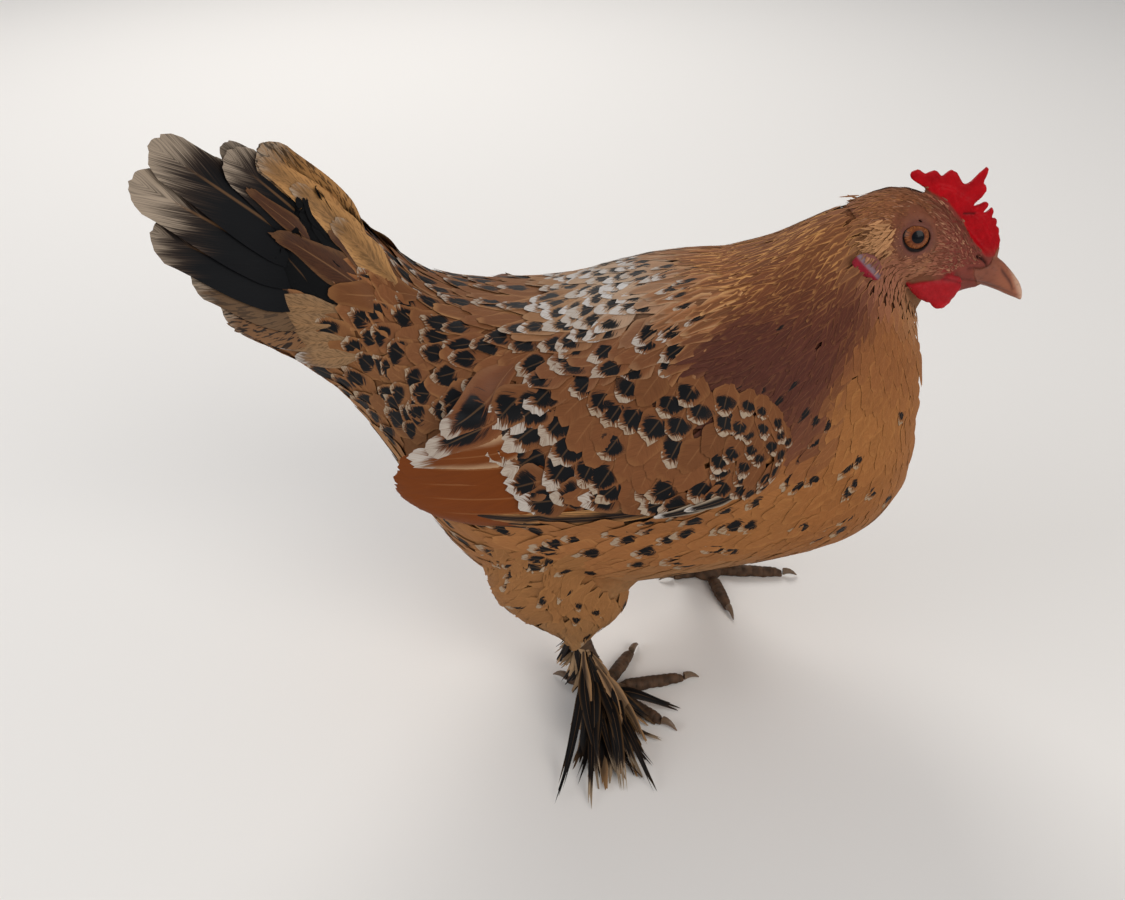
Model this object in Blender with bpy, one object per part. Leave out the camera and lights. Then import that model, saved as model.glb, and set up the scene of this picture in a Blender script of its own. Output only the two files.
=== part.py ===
"""A standing hen of the booted bantam kind, as a still life-size model.

Metres. +X points to the bird's head, +Y to its left side, +Z up, and the floor is z = 0.
The neck, trunk and tail coverts are lengths of one loft. The head, beak, comb, eyes, wings,
tail fans, legs, toes and claws are solids of their own, a thin gap away from their neighbours.
"""

import math

import bmesh
import bpy
import numpy as np
from mathutils import Vector
from mathutils.bvhtree import BVHTree

MM = 0.001
GAP = 0.35 * MM
CLEARANCE = 3 * GAP
FEATHER_EDGE = 0.9 * MM
RAY_START = 0.2
STEEPEST = 0.4

# Neck, trunk and tail coverts. Each row is one slanting section, in millimetres: where it
# meets the bird's upper outline (x, z), where it meets the lower one (x, z), and half its width.
BODY = (
    (85.0, 191.2, 113.5, 159.0, 14.8),
    (73.5, 185.0, 117.0, 147.5, 19.2),
    (60.0, 177.0, 120.5, 132.0, 30.0),
    (43.0, 171.5, 121.8, 112.0, 41.5),
    (25.0, 169.5, 120.0, 89.5, 51.0),
    (7.0, 165.5, 107.0, 69.0, 56.5),
    (-10.0, 160.0, 80.0, 58.5, 58.5),
    (-26.0, 158.3, 45.0, 50.5, 58.5),
    (-42.0, 158.5, 6.0, 43.0, 57.0),
    (-55.0, 160.8, -31.0, 41.0, 51.0),
    (-65.0, 165.5, -56.0, 62.0, 42.0),
    (-73.0, 173.5, -77.0, 97.0, 31.0),
    (-81.0, 183.5, -93.0, 122.5, 21.5),
    (-88.0, 193.0, -110.0, 139.0, 14.5),
    (-95.0, 201.5, -128.0, 151.0, 8.5),
)
NECK_END = 3.0
TRUNK_END = 11.0
BODY_SIDES = 26
BODY_FULLNESS = 2.25
RINGS_PER_ROW = 1.8

# The head, in the same kind of rows, from the nape to the root of the beak.
HEAD = (
    (85.6, 191.0, 113.9, 159.3, 14.6),
    (93.5, 195.3, 118.8, 157.8, 15.0),
    (103.0, 197.6, 123.0, 157.8, 15.0),
    (113.0, 195.6, 127.0, 159.0, 13.2),
    (122.5, 189.3, 130.5, 160.2, 10.4),
    (131.5, 180.5, 133.0, 160.8, 7.9),
    (139.5, 173.5, 134.8, 161.0, 5.9),
)
HEAD_SIDES = 20
HEAD_FULLNESS = 2.1

UPPER_BEAK = (
    (140.0, 173.0, 137.0, 165.0, 5.6),
    (144.5, 170.2, 141.2, 163.2, 4.9),
    (148.8, 166.6, 145.0, 161.4, 3.8),
    (152.0, 162.2, 149.0, 159.1, 2.4),
    (153.6, 157.0, 152.4, 156.2, 0.7),
)
LOWER_BEAK = (
    (136.8, 164.5, 135.4, 161.0, 4.6),
    (140.9, 162.7, 140.1, 159.8, 4.1),
    (144.8, 160.9, 144.5, 158.6, 3.1),
    (148.4, 158.9, 148.2, 157.7, 1.4),
)
BEAK_SIDES = 14
BEAK_FULLNESS = 2.4

EYE_X = 107.8 * MM
EYE_Z = 184.0 * MM
EYE_DEPTH = 9.0 * MM
EYE_RADIUS = 6.2 * MM

# The comb's upper edge from its rear lobe to the beak, as (x, z) in millimetres: tips and notches in turn.
COMB_EDGE = (
    (110.5, 194.8), (106.8, 201.0), (108.6, 203.6), (112.0, 201.6), (114.6, 203.3), (117.6, 201.4),
    (120.2, 203.4), (122.6, 202.0), (125.2, 198.8), (128.2, 201.2), (132.0, 204.8), (131.4, 200.4),
    (132.9, 197.4), (129.6, 192.6), (133.2, 193.4), (132.6, 190.4), (135.8, 193.0), (136.6, 188.4),
    (138.8, 187.0), (137.8, 184.2), (140.6, 182.4), (140.2, 178.6), (142.0, 175.4),
)
COMB_ROOT_START = 3.15
COMB_ROOT_HALF = 2.6 * MM
COMB_EDGE_HALF = 1.1 * MM

WATTLE_CENTRE = (117.3, 14.6, 164.4)
WATTLE_SIZE = (18.0, 2.8, 11.5)
EAR_LOBE_CENTRE = (91.6, 19.5, 176.2)
EAR_LOBE_SIZE = (13.0, 2.4, 8.0)

# The closed wing: rows of (upper edge x, z), (lower edge x, z) in millimetres, from the
# shoulder to the tip, with the thickness of the folded feathers half way down each row.
WING = (
    (64.0, 134.0, 63.5, 124.5, 2.2),
    (57.0, 145.0, 58.5, 113.5, 4.6),
    (43.0, 151.5, 47.0, 103.5, 6.2),
    (22.0, 153.0, 27.0, 97.5, 7.0),
    (-2.0, 150.5, 3.0, 94.5, 7.0),
    (-24.0, 147.0, -20.0, 94.0, 6.6),
    (-44.0, 143.0, -41.0, 91.5, 5.6),
    (-61.0, 137.0, -58.5, 91.5, 4.2),
    (-71.0, 128.0, -70.5, 96.5, 2.6),
    (-74.5, 119.5, -74.5, 106.0, 1.6),
)
WING_COVERTS_END = 5.0
WING_STEPS_DOWN = 9
WING_RINGS_PER_ROW = 2.0
WING_LEAVES_BODY_X = -34.0 * MM
WING_LEAVES_BODY_Y = 55.0 * MM
WING_TIP_X = -74.5 * MM
WING_TIP_Y = 43.0 * MM

# The tail: two fans of seven feathers each, which stand up from the tail's root like a tent. The right
# one is opened further than the left.
TAIL_ROOT = np.array((-68.0, 0.0, 148.0)) * MM
TAIL_TOP_ANGLE = 57.0
TAIL_LOW_ANGLE = 19.0
TAIL_LENGTHS = dict(right=(81.0, 87.0, 107.0, 106.0, 94.0, 78.0, 66.0),
                    left=(81.0, 88.0, 89.0, 93.0, 88.0, 76.0, 64.0))
TAIL_FAN_START = 52.4 * MM
TAIL_FAN_START_ANGLE = 33.2
TAIL_TIP_ROUNDING = 5.5 * MM
TAIL_STEPS_OUT = 4
TAIL_ROOT_THICKER = 2.6 * MM
TAIL_SPREAD = 25.0 * MM
TAIL_SWING = 13.0
TAIL_SWING_FROM = -55.0 * MM
TAIL_SWING_OVER = 60.0 * MM

# Each leg: where its foot, hock and thigh are (x, y), half the length and width of the thigh's fluff,
# and the ways its boot of feathers and its toes point, in degrees from +X to the bird's left.
FEET = {
    "right": dict(foot=(4.0, -38.5), hock=(-7.0, -37.0), thigh=(-13.0, -33.0), fluff=(28.0, 18.0),
                  boot=(-46.0, -100.0),
                  toes=dict(inner=62.0, middle=14.0, outer=-36.0, hind=150.0)),
    "left": dict(foot=(54.0, 40.5), hock=(43.0, 38.0), thigh=(35.0, 32.5), fluff=(24.0, 17.0),
                 boot=(58.0, 112.0),
                 toes=dict(inner=-76.0, middle=-2.0, outer=46.0, hind=193.0)),
}
TOE_LENGTHS = dict(inner=20.0, middle=27.0, outer=21.0, hind=9.0)
TOE_JOINTS = dict(inner=2, middle=3, outer=3, hind=1)
TOE_HALF_WIDTH = 2.9 * MM
TOE_HEIGHT = 5.4 * MM
TOE_ARCH = 0.5 * MM
CLAW_LENGTH = 6.5 * MM
CLAW_ROOT_RADIUS = 1.83 * MM
CLAW_TIP_RADIUS = 0.28 * MM
CLAW_ROOT_HEIGHT = 2.5 * MM
CLAW_ARCH = 0.7 * MM
CLAW_DROP = 1.8 * MM
FOOT_PAD_RADIUS = 6.2 * MM
HOCK_Z = 31.0 * MM
THIGH_END_RADIUS = 5.6 * MM

# The stiff feathers on the outer side of each foot lie as a fan near the floor.
BOOT_LENGTHS = (22.0, 29.0, 43.0, 61.0, 38.0)
BOOT_START = 9.0 * MM
BOOT_HEIGHT = 10.9 * MM
BOOT_CLEARANCE = 0.6 * MM
BOOT_STEPS_OUT = 4
BOOT_TIP_ROUNDING = 7.0 * MM
BOOT_ROOT_THICKER = 3.5 * MM


def material(name, colour, roughness):
    """A Principled material of one plain colour."""
    made = bpy.data.materials.new(name)
    made.use_nodes = True
    shader = made.node_tree.nodes["Principled BSDF"]
    shader.inputs["Base Color"].default_value = (*colour, 1.0)
    shader.inputs["Roughness"].default_value = roughness
    shader.inputs["Metallic"].default_value = 0.0
    return made


def through(rows, t):
    """Smooth curve through rows of numbers, with one unit of t from each row to the next (Catmull-Rom)."""
    rows = np.asarray(rows, float)
    rows = np.vstack([2 * rows[0] - rows[1], rows, 2 * rows[-1] - rows[-2]])
    t = np.clip(np.asarray(t, float), 0.0, len(rows) - 3.0)
    i = np.minimum(t.astype(int), len(rows) - 4)
    f = (t - i)[..., None]
    a, b, c, d = rows[i], rows[i + 1], rows[i + 2], rows[i + 3]
    return 0.5 * (2 * b + (c - a) * f + (2 * a - 5 * b + 4 * c - d) * f**2 + (3 * b - a - 3 * c + d) * f**3)


def smooth(x):
    """Ramp from 0 to 1 with level ends."""
    x = np.clip(x, 0.0, 1.0)
    return x * x * (3 - 2 * x)


def solid(name, rings, look, start=None, end=None, sheet=False):
    """Closed solid: each ring of points joined to the next, and both ends closed with a fan round a middle point.

    The rings of a sheet run up one face and down the other, and its ends are closed straight across instead.
    """
    rings = np.asarray(rings, float)
    count, sides = rings.shape[:2]
    points = rings.reshape(-1, 3)
    faces = []
    for r in range(count - 1):
        for s in range(sides):
            n = (s + 1) % sides
            faces.append((r * sides + s, r * sides + n, (r + 1) * sides + n, (r + 1) * sides + s))
    tail = (count - 1) * sides
    if sheet:
        for s in range(sides // 2 - 1):
            strip = (s, s + 1, sides - 2 - s, sides - 1 - s)
            faces.append(strip[::-1])
            faces.append(tuple(tail + corner for corner in strip))
    else:
        start = rings[0].mean(0) if start is None else np.asarray(start)
        end = rings[-1].mean(0) if end is None else np.asarray(end)
        points = np.vstack([points, start, end])
        first, last = count * sides, count * sides + 1
        for s in range(sides):
            n = (s + 1) % sides
            faces.append((first, n, s))
            faces.append((last, tail + s, tail + n))
    mesh = bpy.data.meshes.new(name)
    mesh.from_pydata(points.tolist(), [], faces)
    return finished(name, mesh, look)


def finished(name, mesh, look):
    """Object from a mesh, its faces turned outward and shaded smooth up to a crease."""
    shell = bmesh.new()
    shell.from_mesh(mesh)
    bmesh.ops.recalc_face_normals(shell, faces=shell.faces)
    shell.to_mesh(mesh)
    shell.free()
    mesh.shade_smooth()
    mesh.set_sharp_from_angle(angle=math.radians(40))
    mesh.materials.append(look)
    made = bpy.data.objects.new(name, mesh)
    bpy.context.collection.objects.link(made)
    return made


def sections(rows, t, sides, fullness):
    """Rings of a loft: at each t a slanting section, a rounded oval between its top and bottom points."""
    rows = through(rows, t) * MM
    turn = 2 * np.pi * np.arange(sides) / sides
    across = np.sign(np.cos(turn)) * np.abs(np.cos(turn)) ** (2 / fullness)
    up = np.sign(np.sin(turn)) * np.abs(np.sin(turn)) ** (2 / fullness)
    top, bottom, half = rows[:, None, 0:2], rows[:, None, 2:4], rows[:, None, 4]
    flat = (top + bottom) / 2 + (top - bottom) / 2 * up[None, :, None]
    return np.stack([flat[..., 0], half * across[None, :], flat[..., 1]], -1)


def swing_tail(points):
    """Turn what lies behind the rump to the bird's right, little by little."""
    points = np.array(points, float)
    turn = math.radians(TAIL_SWING) * smooth((TAIL_SWING_FROM - points[..., 0]) / TAIL_SWING_OVER)
    x, y = points[..., 0] - TAIL_SWING_FROM, points[..., 1].copy()
    points[..., 0] = TAIL_SWING_FROM + x * np.cos(turn) - y * np.sin(turn)
    points[..., 1] = x * np.sin(turn) + y * np.cos(turn)
    return points


def lengths_of_body(look):
    """Neck, trunk and tail coverts: three lengths of the one body loft."""
    last = len(BODY) - 1.0
    cuts = (("neck", 0.0, NECK_END), ("trunk", NECK_END, TRUNK_END), ("tail_coverts", TRUNK_END, last))
    made = {}
    for name, start, stop in cuts:
        start += 0.0 if start == 0.0 else gap_in_rows(BODY, start)
        stop -= 0.0 if stop == last else gap_in_rows(BODY, stop)
        steps = max(3, round((stop - start) * RINGS_PER_ROW)) + 1
        t = np.linspace(start, stop, steps)
        made[name] = solid(name, swing_tail(sections(BODY, t, BODY_SIDES, BODY_FULLNESS)), look)
    return made


def gap_in_rows(rows, t):
    """Half a gap, in rows of the loft, where its outlines run closest together."""
    ends = through(rows, np.array((t - 0.05, t + 0.05))) * MM
    step = ends[1] - ends[0]
    slant = ends[0, 0:2] - ends[0, 2:4]
    across = np.array((slant[1], -slant[0])) / np.linalg.norm(slant)
    per_row = min(abs(step[0:2] @ across), abs(step[2:4] @ across)) / 0.1
    return 0.55 * GAP / per_row


def head(look):
    """The head without its beak, with a round socket cut on each side for the eye."""
    t = np.linspace(0.0, len(HEAD) - 1.0, 11)
    made = solid("head", sections(HEAD, t, HEAD_SIDES, HEAD_FULLNESS), look)
    for side, name in ((-1, "right"), (1, "left")):
        socket = ball(f"socket_{name}", (EYE_X, side * EYE_DEPTH, EYE_Z), EYE_RADIUS + GAP, look, rings=9)
        socket.hide_render = True
        socket.display_type = "WIRE"
        cut = made.modifiers.new(f"socket_{name}", "BOOLEAN")
        cut.operation = "DIFFERENCE"
        cut.object = socket
    return made


def ball(name, centre, radius, look, rings=8):
    """Sphere with its poles across the bird."""
    turn = np.pi * (np.arange(1, rings)) / rings
    round_ = 2 * np.pi * np.arange(2 * rings) / (2 * rings)
    x = radius * np.sin(turn)[:, None] * np.cos(round_)
    z = radius * np.sin(turn)[:, None] * np.sin(round_)
    y = radius * np.cos(turn)[:, None] * np.ones_like(round_)
    middle = np.array(centre)
    poles = [middle + (0, radius, 0), middle - (0, radius, 0)]
    return solid(name, np.stack([x, y, z], -1) + middle, look, *poles)


def eyes(look):
    """One eyeball in each socket."""
    for side, name in ((-1, "right"), (1, "left")):
        ball(f"eye_{name}", (EYE_X, side * EYE_DEPTH, EYE_Z), EYE_RADIUS, look)


def beak(look):
    """Upper and lower beak, the upper one hooked over the lower."""
    for name, rows in (("beak_upper", UPPER_BEAK), ("beak_lower", LOWER_BEAK)):
        t = np.linspace(0.0, len(rows) - 1.0, 9)
        solid(name, sections(rows, t, BEAK_SIDES, BEAK_FULLNESS), look)


def comb(look):
    """Single comb: a blade in the bird's middle plane, thick at its root, which follows the top of the head."""
    edge = np.array(COMB_EDGE) * MM
    run = np.linspace(COMB_ROOT_START, len(HEAD) - 1.0, len(edge))
    root = through(HEAD, run)[:, 0:2] * MM
    along = np.gradient(root, axis=0)
    lift = np.stack([-along[:, 1], along[:, 0]], -1)
    root = root + lift / np.linalg.norm(lift, axis=1, keepdims=True) * GAP * 1.2
    edge[0], edge[-1] = root[0] + lift[0] * 0.6, root[-1] + lift[-1] * 0.6
    rings = []
    for low, high in zip(root, edge):
        middle = (low + high) / 2
        half = (COMB_ROOT_HALF + COMB_EDGE_HALF) / 2
        ring = [(low, COMB_ROOT_HALF), (middle, half), (high, COMB_EDGE_HALF),
                (high, -COMB_EDGE_HALF), (middle, -half), (low, -COMB_ROOT_HALF)]
        rings.append([(p[0], y, p[1]) for p, y in ring])
    solid("comb", rings, look)


def pendant(name, centre, size, droop, look):
    """Flat oval flap of skin, fuller at its lower edge, leaning by its droop."""
    rings, sides = 5, 14
    turn = np.pi * np.arange(1, rings) / rings
    round_ = 2 * np.pi * np.arange(sides) / sides
    sx, sy, sz = np.array(size) / 2 * MM
    lobes = 1 + 0.09 * np.cos(3 * round_ + 0.6)
    x = sx * np.sin(turn)[:, None] * np.cos(round_) * lobes
    z = sz * np.sin(turn)[:, None] * np.sin(round_) * lobes
    y = sy * np.cos(turn)[:, None] * np.ones_like(round_)
    c, s = math.cos(droop), math.sin(droop)
    points = np.stack([x * c - z * s, y, x * s + z * c], -1)
    middle = np.array(centre) * MM
    solid(name, points + middle, look, middle + (0, sy, 0), middle - (0, sy, 0))


def flaps(look):
    """Wattles under the beak and ear lobes behind the cheeks."""
    for side, name in ((-1, "right"), (1, "left")):
        x, y, z = WATTLE_CENTRE
        pendant(f"wattle_{name}", (x, side * y, z), WATTLE_SIZE, math.radians(10), look)
        x, y, z = EAR_LOBE_CENTRE
        pendant(f"ear_lobe_{name}", (x, side * y, z), EAR_LOBE_SIZE, math.radians(-38), look)


def surface_of(made):
    """Search tree of an object's faces, for rays."""
    shell = bmesh.new()
    shell.from_mesh(made.data)
    tree = BVHTree.FromBMesh(shell)
    shell.free()
    return tree


def wing_rings(t, side, trunk):
    """Rings of a folded wing: an inner sheet just off the trunk and an outer one that bulges over it."""
    down = np.linspace(0.0, 1.0, WING_STEPS_DOWN)
    rings = []
    for top_x, top_z, low_x, low_z, thick in through(WING, t) * MM:
        inner, outer = [], []
        for v in down:
            x, z = top_x + (low_x - top_x) * v, top_z + (low_z - top_z) * v
            hit, normal = trunk.ray_cast(Vector((x, side * RAY_START, z)), Vector((0, -side, 0)))[:2]
            on_body = abs(hit.y) + CLEARANCE / max(abs(normal.y), STEEPEST) if hit else 0.0
            behind = (WING_LEAVES_BODY_X - x) / (WING_LEAVES_BODY_X - WING_TIP_X)
            straight = WING_LEAVES_BODY_Y + (WING_TIP_Y - WING_LEAVES_BODY_Y) * behind
            y = max(on_body, straight * smooth(3 * behind + 1))
            bulge = FEATHER_EDGE + max(thick - FEATHER_EDGE, 0.0) * math.sqrt(math.sin(math.pi * v) + 1e-9)
            inner.append((x, side * y, z))
            outer.append((x, side * (y + bulge), z))
        rings.append(outer + inner[::-1])
    return rings


def wings(looks, trunk):
    """Both wings, each as its coverts in front and its flight feathers behind them."""
    last = len(WING) - 1.0
    half = gap_in_rows(WING, WING_COVERTS_END)
    for side, name in ((-1, "right"), (1, "left")):
        for part, start, stop in (("coverts", 0.0, WING_COVERTS_END - half),
                                  ("flight", WING_COVERTS_END + half, last)):
            t = np.linspace(start, stop, round((stop - start) * WING_RINGS_PER_ROW) + 1)
            solid(f"wing_{part}_{name}", wing_rings(t, side, trunk), looks[part], sheet=True)


def tail_fans(look):
    """Each fan is a thin sheet with one rounded tip per feather, set out by angle and reach from the tail's root."""
    low, top = math.radians(TAIL_LOW_ANGLE), math.radians(TAIL_TOP_ANGLE)
    tips = np.linspace(top, low, len(TAIL_LENGTHS["right"]))
    pitch = abs(tips[1] - tips[0])
    angles = np.linspace(top + 0.5 * pitch, low - 0.4 * pitch, 4 * len(tips) + 1)
    off = (angles[:, None] - tips[None, :]) / pitch
    for side, name in ((-1, "right"), (1, "left")):
        reach = (np.array(TAIL_LENGTHS[name]) * MM - TAIL_TIP_ROUNDING * (2 * off) ** 2).max(1)
        rings = []
        for angle, r_tip in zip(angles, reach):
            r_start = TAIL_FAN_START / math.cos(angle - math.radians(TAIL_FAN_START_ANGLE))
            fall = (top - angle) / (top - low)
            inner, outer = [], []
            for v in np.linspace(0.0, 1.0, TAIL_STEPS_OUT):
                r = r_start + (r_tip - r_start) * v
                out = GAP + TAIL_SPREAD * max(fall, 0.0) ** 0.8 * (r / 0.1) ** 1.3 * 0.9
                thick = FEATHER_EDGE + TAIL_ROOT_THICKER * (1 - v)
                x, z = -r * math.cos(angle), r * math.sin(angle)
                inner.append(TAIL_ROOT + (x, side * out, z))
                outer.append(TAIL_ROOT + (x, side * (out + thick), z))
            rings.append(inner + outer[::-1])
        solid(f"tail_fan_{name}", swing_tail(rings), look, sheet=True)


def thigh(name, leg, trunk, look):
    """Feathered thigh: a column whose top fits the belly and which narrows to the hock."""
    sides, levels = 16, 7
    turn = 2 * np.pi * np.arange(sides) / sides
    centre = np.array(leg["thigh"]) * MM
    hock = np.array(leg["hock"]) * MM
    fluff = np.array(leg["fluff"]) * MM
    rings = []
    for shrink in (0.3, 0.65, 1.0):
        xy = centre + shrink * fluff * np.stack([np.cos(turn), np.sin(turn)], -1)
        rings.append([(x, y, belly_height(trunk, x, y)) for x, y in xy])
    top = rings[-1]
    for level in np.linspace(0, 1, levels)[1:]:
        narrow = level**3
        rx, ry = fluff + (THIGH_END_RADIUS - fluff) * narrow
        middle = centre + (hock - centre) * narrow
        ring = []
        for angle, above in zip(turn, top):
            x, y = middle[0] + rx * math.cos(angle), middle[1] + ry * math.sin(angle)
            ring.append((x, y, above[2] + (HOCK_Z - above[2]) * level))
        rings.append(ring)
    start = (centre[0], centre[1], belly_height(trunk, centre[0], centre[1]))
    solid(f"thigh_{name}", rings, look, start=start)


def belly_height(trunk, x, y):
    """Height just under the trunk at a place."""
    hit, normal = trunk.ray_cast(Vector((x, y, -RAY_START)), Vector((0, 0, 1)))[:2]
    return hit.z - CLEARANCE / max(abs(normal.z), STEEPEST)


def shank(name, leg, look):
    """Shank with the pad that it stands on, flat underneath."""
    sides = 12
    turn = 2 * np.pi * np.arange(sides) / sides
    hock, foot = np.array(leg["hock"]) * MM, np.array(leg["foot"]) * MM
    profile = ((0.0, 0.88), (0.6, 1.0), (3.2, 1.06), (6.0, 0.94), (9.0, 0.74), (14.0, 0.66), (22.0, 0.66),
               (27.0, 0.74), (30.6, 0.86))
    rings = []
    for height, wide in profile:
        share = np.clip((height * MM - TOE_HEIGHT) / (HOCK_Z - TOE_HEIGHT), 0.0, 1.0)
        middle = foot + (hock - foot) * share
        radius = FOOT_PAD_RADIUS * wide
        rings.append([(middle[0] + radius * math.cos(a), middle[1] + radius * 0.94 * math.sin(a), height * MM)
                      for a in turn])
    solid(f"shank_{name}", rings, look)


def toe(name, start, way, length, joints, look):
    """One toe: an arched bar with a pad under each joint. The pads are flat, at floor level."""
    sides, steps = 10, 3 * joints + 1
    turn = 2 * np.pi * np.arange(sides) / sides
    forward = np.array((math.cos(way), math.sin(way)))
    left = np.array((-forward[1], forward[0]))
    rings = []
    for v in np.linspace(0.0, 1.0, steps):
        ends = math.sqrt(max(1 - (abs(2 * v - 1)) ** 6, 0.0)) * 0.35 + 0.65
        swell = 1 + 0.09 * math.cos(2 * math.pi * joints * v)
        half = TOE_HALF_WIDTH * (1 - 0.26 * v) * ends * swell
        tall = TOE_HEIGHT * (1 - 0.28 * v) * ends
        floor = TOE_ARCH * (1 - math.cos(2 * math.pi * joints * v)) / 2
        middle = np.array(start) + forward * length * v
        ring = []
        for a in turn:
            out = middle + left * half * math.cos(a)
            z = max(floor, floor + tall * (0.44 + 0.56 * math.sin(a)))
            ring.append((out[0], out[1], z))
        rings.append(ring)
    solid(name, rings, look)


def claw(name, start, way, look):
    """Curved claw whose tip comes down to just above the floor."""
    sides, steps = 8, 5
    turn = 2 * np.pi * np.arange(sides) / sides
    forward = np.array((math.cos(way), math.sin(way)))
    left = np.array((-forward[1], forward[0]))
    rings = []
    for v in np.linspace(0.0, 1.0, steps):
        radius = CLAW_TIP_RADIUS + (CLAW_ROOT_RADIUS - CLAW_TIP_RADIUS) * (1 - v) ** 0.7
        middle = np.array(start) + forward * CLAW_LENGTH * v
        height = CLAW_ROOT_HEIGHT + CLAW_ARCH * math.sin(math.pi * v) - CLAW_DROP * v**2
        rings.append([(middle[0] + left[0] * radius * 0.8 * math.cos(a),
                       middle[1] + left[1] * radius * 0.8 * math.cos(a),
                       height + radius * math.sin(a)) for a in turn])
    solid(name, rings, look)


def boot(name, leg, look):
    """Fan of stiff feathers on the outer side of the foot, which slopes from the shank to the floor."""
    foot = np.array(leg["foot"]) * MM
    low, high = (math.radians(a) for a in leg["boot"])
    tips = np.linspace(low, high, len(BOOT_LENGTHS))
    pitch = abs(tips[1] - tips[0])
    angles = np.linspace(low, high, 3 * len(tips) + 1)
    off = (angles[:, None] - tips[None, :]) / pitch
    reach = (np.array(BOOT_LENGTHS) * MM - BOOT_TIP_ROUNDING * (2 * off) ** 2).max(1)
    rings = []
    for angle, r_tip in zip(angles, reach):
        x_way, y_way = math.cos(angle), math.sin(angle)
        under, over = [], []
        for v in np.linspace(0.0, 1.0, BOOT_STEPS_OUT):
            r = BOOT_START + (r_tip - BOOT_START) * v
            z = BOOT_CLEARANCE + BOOT_HEIGHT * (1 - v) ** 1.8
            thick = FEATHER_EDGE + BOOT_ROOT_THICKER * (1 - v) ** 1.5
            spot = (foot[0] + r * x_way, foot[1] + r * y_way)
            under.append((*spot, z))
            over.append((*spot, z + thick))
        rings.append(under + over[::-1])
    solid(f"boot_{name}", rings, look)


def legs(looks, trunk):
    """Both legs: thigh, shank, four toes with their claws, and the feather boot."""
    for name, leg in FEET.items():
        thigh(name, leg, trunk, looks["plumage"])
        shank(name, leg, looks["leg"])
        for which, degrees in leg["toes"].items():
            way = math.radians(degrees)
            forward = np.array((math.cos(way), math.sin(way)))
            start = np.array(leg["foot"]) * MM + forward * (FOOT_PAD_RADIUS * 1.08 + GAP)
            length = TOE_LENGTHS[which] * MM
            toe(f"toe_{which}_{name}", start, way, length, TOE_JOINTS[which], looks["leg"])
            tip = start + forward * (length + GAP)
            claw(f"claw_{which}_{name}", tip, way, looks["claw"])
        boot(name, leg, looks["boot"])


def centre_over_origin():
    """Slide everything level so that the whole model's box is centred on the origin, its floor at z = 0."""
    bpy.context.view_layer.update()
    seen = [o for o in bpy.data.objects if not o.hide_render]
    corners = np.array([o.matrix_world @ Vector(c) for o in seen for c in o.bound_box])
    low, high = corners.min(0), corners.max(0)
    for made in bpy.data.objects:
        made.location.x -= (low[0] + high[0]) / 2
        made.location.y -= (low[1] + high[1]) / 2
        made.location.z -= low[2]


def main():
    for old in list(bpy.data.objects):
        bpy.data.objects.remove(old, do_unlink=True)
    plumage = material("plumage", (0.47, 0.22, 0.07), 0.75)
    flight = material("flight_feathers", (0.36, 0.15, 0.05), 0.7)
    dark = material("tail_feathers", (0.03, 0.03, 0.035), 0.65)
    red = material("comb_skin", (0.62, 0.02, 0.02), 0.5)
    face = material("face_skin", (0.55, 0.25, 0.18), 0.6)
    horn = material("beak_horn", (0.62, 0.38, 0.25), 0.4)
    eye = material("eye", (0.05, 0.02, 0.01), 0.1)
    leg = material("leg_scales", (0.30, 0.24, 0.21), 0.6)
    body = lengths_of_body(plumage)
    trunk = surface_of(body["trunk"])
    head(face)
    eyes(eye)
    beak(horn)
    comb(red)
    flaps(red)
    wings(dict(coverts=plumage, flight=flight), trunk)
    tail_fans(dark)
    legs(dict(plumage=plumage, leg=leg, claw=horn, boot=dark), trunk)
    centre_over_origin()


main()
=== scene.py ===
"""Life-size standing hen with feathered feet: one skin, glossy eyes, horn, and a coat of feathers as thin
vanes."""
import math

import bpy
import numpy as np
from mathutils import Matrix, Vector
from mathutils.bvhtree import BVHTree
from mathutils.geometry import tessellate_polygon
from mathutils.kdtree import KDTree


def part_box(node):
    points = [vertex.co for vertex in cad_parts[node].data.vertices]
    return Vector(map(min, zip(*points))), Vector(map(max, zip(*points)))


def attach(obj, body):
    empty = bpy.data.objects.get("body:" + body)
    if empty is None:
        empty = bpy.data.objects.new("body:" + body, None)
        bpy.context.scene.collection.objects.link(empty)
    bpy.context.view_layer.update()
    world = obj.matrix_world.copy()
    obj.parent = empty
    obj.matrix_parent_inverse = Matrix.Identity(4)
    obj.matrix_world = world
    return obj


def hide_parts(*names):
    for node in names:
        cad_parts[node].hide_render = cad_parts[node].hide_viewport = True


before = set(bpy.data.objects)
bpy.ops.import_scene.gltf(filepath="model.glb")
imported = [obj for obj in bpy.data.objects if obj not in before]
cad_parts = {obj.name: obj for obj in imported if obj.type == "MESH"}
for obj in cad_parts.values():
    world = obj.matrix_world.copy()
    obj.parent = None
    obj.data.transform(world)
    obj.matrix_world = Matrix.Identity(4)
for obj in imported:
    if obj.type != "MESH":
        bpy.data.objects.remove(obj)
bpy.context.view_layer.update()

MM = 0.001
rng = np.random.default_rng(20)


# ---------------------------------------------------------------- shared helpers

def smooth(x):
    """Eased step: 0 below 0, 1 above 1, and 3x^2 - 2x^3 between."""
    x = np.clip(x, 0.0, 1.0)
    return x * x * (3 - 2 * x)


def unit(vectors):
    """Vectors divided by their lengths."""
    return vectors / (np.linalg.norm(vectors, axis=-1, keepdims=True) + 1e-12)


def tone(red, green, blue):
    """Linear colour for a paint chip given in everyday 0 to 255 numbers."""
    c = np.array([red, green, blue]) / 255.0
    return np.where(c <= 0.04045, c / 12.92, ((c + 0.055) / 1.055) ** 2.4)


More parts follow.
